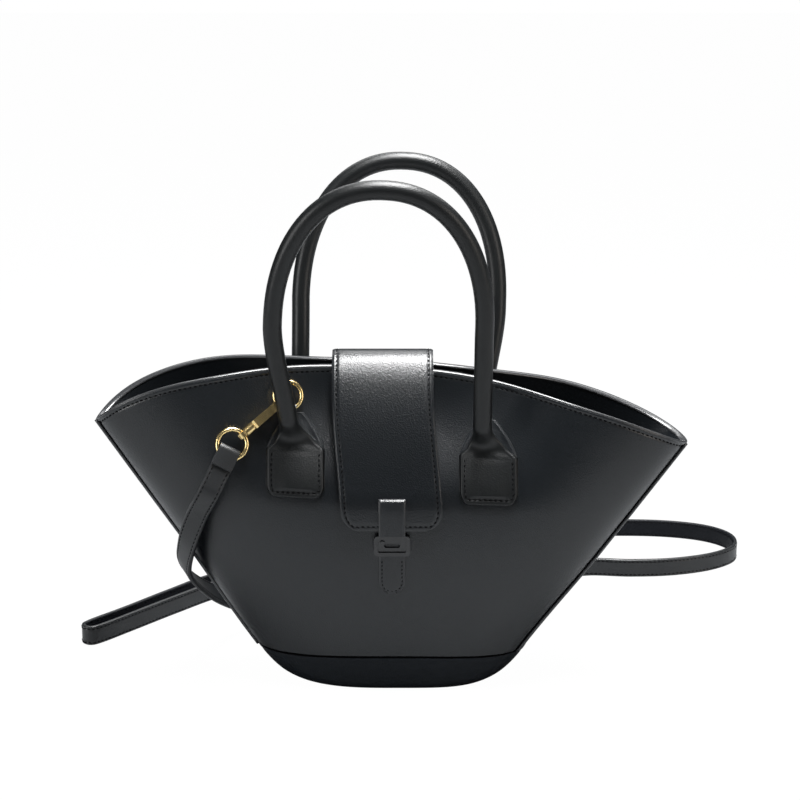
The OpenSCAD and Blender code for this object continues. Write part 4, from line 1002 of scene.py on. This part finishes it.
strap.data.materials.append(strap_back_and_shade)
# Faces on the reverse side of the section get the darker backing, which is partly painted shade.
for polygon in strap.data.polygons:
    polygon.material_index = int(max(section[i % len(section)][1] for i in polygon.vertices) <= 0)
for side, edge in ((-1, "_high"), (1, "_low")):
    for way, which in ((-1, "back"), (1, "face")):
        row = centres + side * (a - EDGE_LINE) * sides + way * (b - 0.12) * outward
        stitched("strap_stitches_" + which + edge, row, way * outward, "bag", thick=0.34)

# Floor and light
# A pale floor under a large soft light from above, a weaker one on each side and behind, and a
# white surround that shows only to the camera.
GROUND_REACH, GROUND_Z, GROUND_WHITE = 6, -0.0002, 0.96
floor_mesh = bpy.data.meshes.new("floor")
floor_mesh.from_pydata([(x * GROUND_REACH, y * GROUND_REACH, GROUND_Z)
                        for x, y in ((-1, -1), (1, -1), (1, 1), (-1, 1))], [], [(0, 1, 2, 3)])
floor = bpy.data.objects.new("floor", floor_mesh)
scene.collection.objects.link(floor)
pale = bpy.data.materials.new("pale_floor")
pale.use_nodes = True
world = bpy.data.worlds.new("studio")
scene.world = world
world.use_nodes = True


def seen_and_unseen(tree, output_kind, unseen, seen, share):
    """One surface for the camera's own rays, and another for all others."""
    output, rays = add(tree, output_kind), add(tree, "ShaderNodeLightPath")
    part = add(tree, "ShaderNodeMath", {1: share}, operation="MULTIPLY")
    blend = add(tree, "ShaderNodeMixShader")
    tree.links.new(rays.outputs["Is Camera Ray"], part.inputs[0])
    tree.links.new(part.outputs[0], blend.inputs[0])
    tree.links.new(unseen.outputs[0], blend.inputs[1])
    tree.links.new(seen.outputs[0], blend.inputs[2])
    tree.links.new(blend.outputs[0], output.inputs["Surface"])


tree = pale.node_tree
tree.nodes.clear()
matt = add(tree, "ShaderNodeBsdfDiffuse", {"Color": (0.29, 0.30, 0.31, 1)})
white = add(tree, "ShaderNodeEmission", {"Color": (1, 1, 1, 1), "Strength": 1.03})
seen_and_unseen(tree, "ShaderNodeOutputMaterial", matt, white, GROUND_WHITE)
floor_mesh.materials.append(pale)
tree = world.node_tree
tree.nodes.clear()
room = add(tree, "ShaderNodeBackground", {"Color": (0.93, 0.97, 1.0, 1), "Strength": 0.07})
clear = add(tree, "ShaderNodeBackground", {"Color": (1, 1, 1, 1), "Strength": 1.0})
seen_and_unseen(tree, "ShaderNodeOutputWorld", room, clear, 1.0)


def soft_light(name, place, target, size, power, color=(1, 1, 1)):
    lamp = bpy.data.lights.new(name, "AREA")
    lamp.shape = "RECTANGLE"
    lamp.size, lamp.size_y = size
    lamp.energy = power
    lamp.color = color
    obj = bpy.data.objects.new(name, lamp)
    obj.location = place
    aim = unit(np.array(target) - np.array(place))
    obj.rotation_euler = (math.acos(-aim[2]), 0, -math.atan2(aim[0], aim[1]))
    scene.collection.objects.link(obj)


soft_light("key", (0.12, -0.02, 1.2), (0, 0, 0.14), (0.85, 0.40), 46)
soft_light("back_top", (0.1, 0.75, 0.95), (0, 0, 0.17), (1.3, 0.35), 6)
soft_light("left_side", (-1.15, -0.65, 0.40), (-0.05, 0, 0.1), (0.35, 0.9), 7)
soft_light("right_side", (1.15, -0.65, 0.5), (0.05, 0, 0.1), (0.35, 0.8), 4, (1.0, 0.92, 0.84))
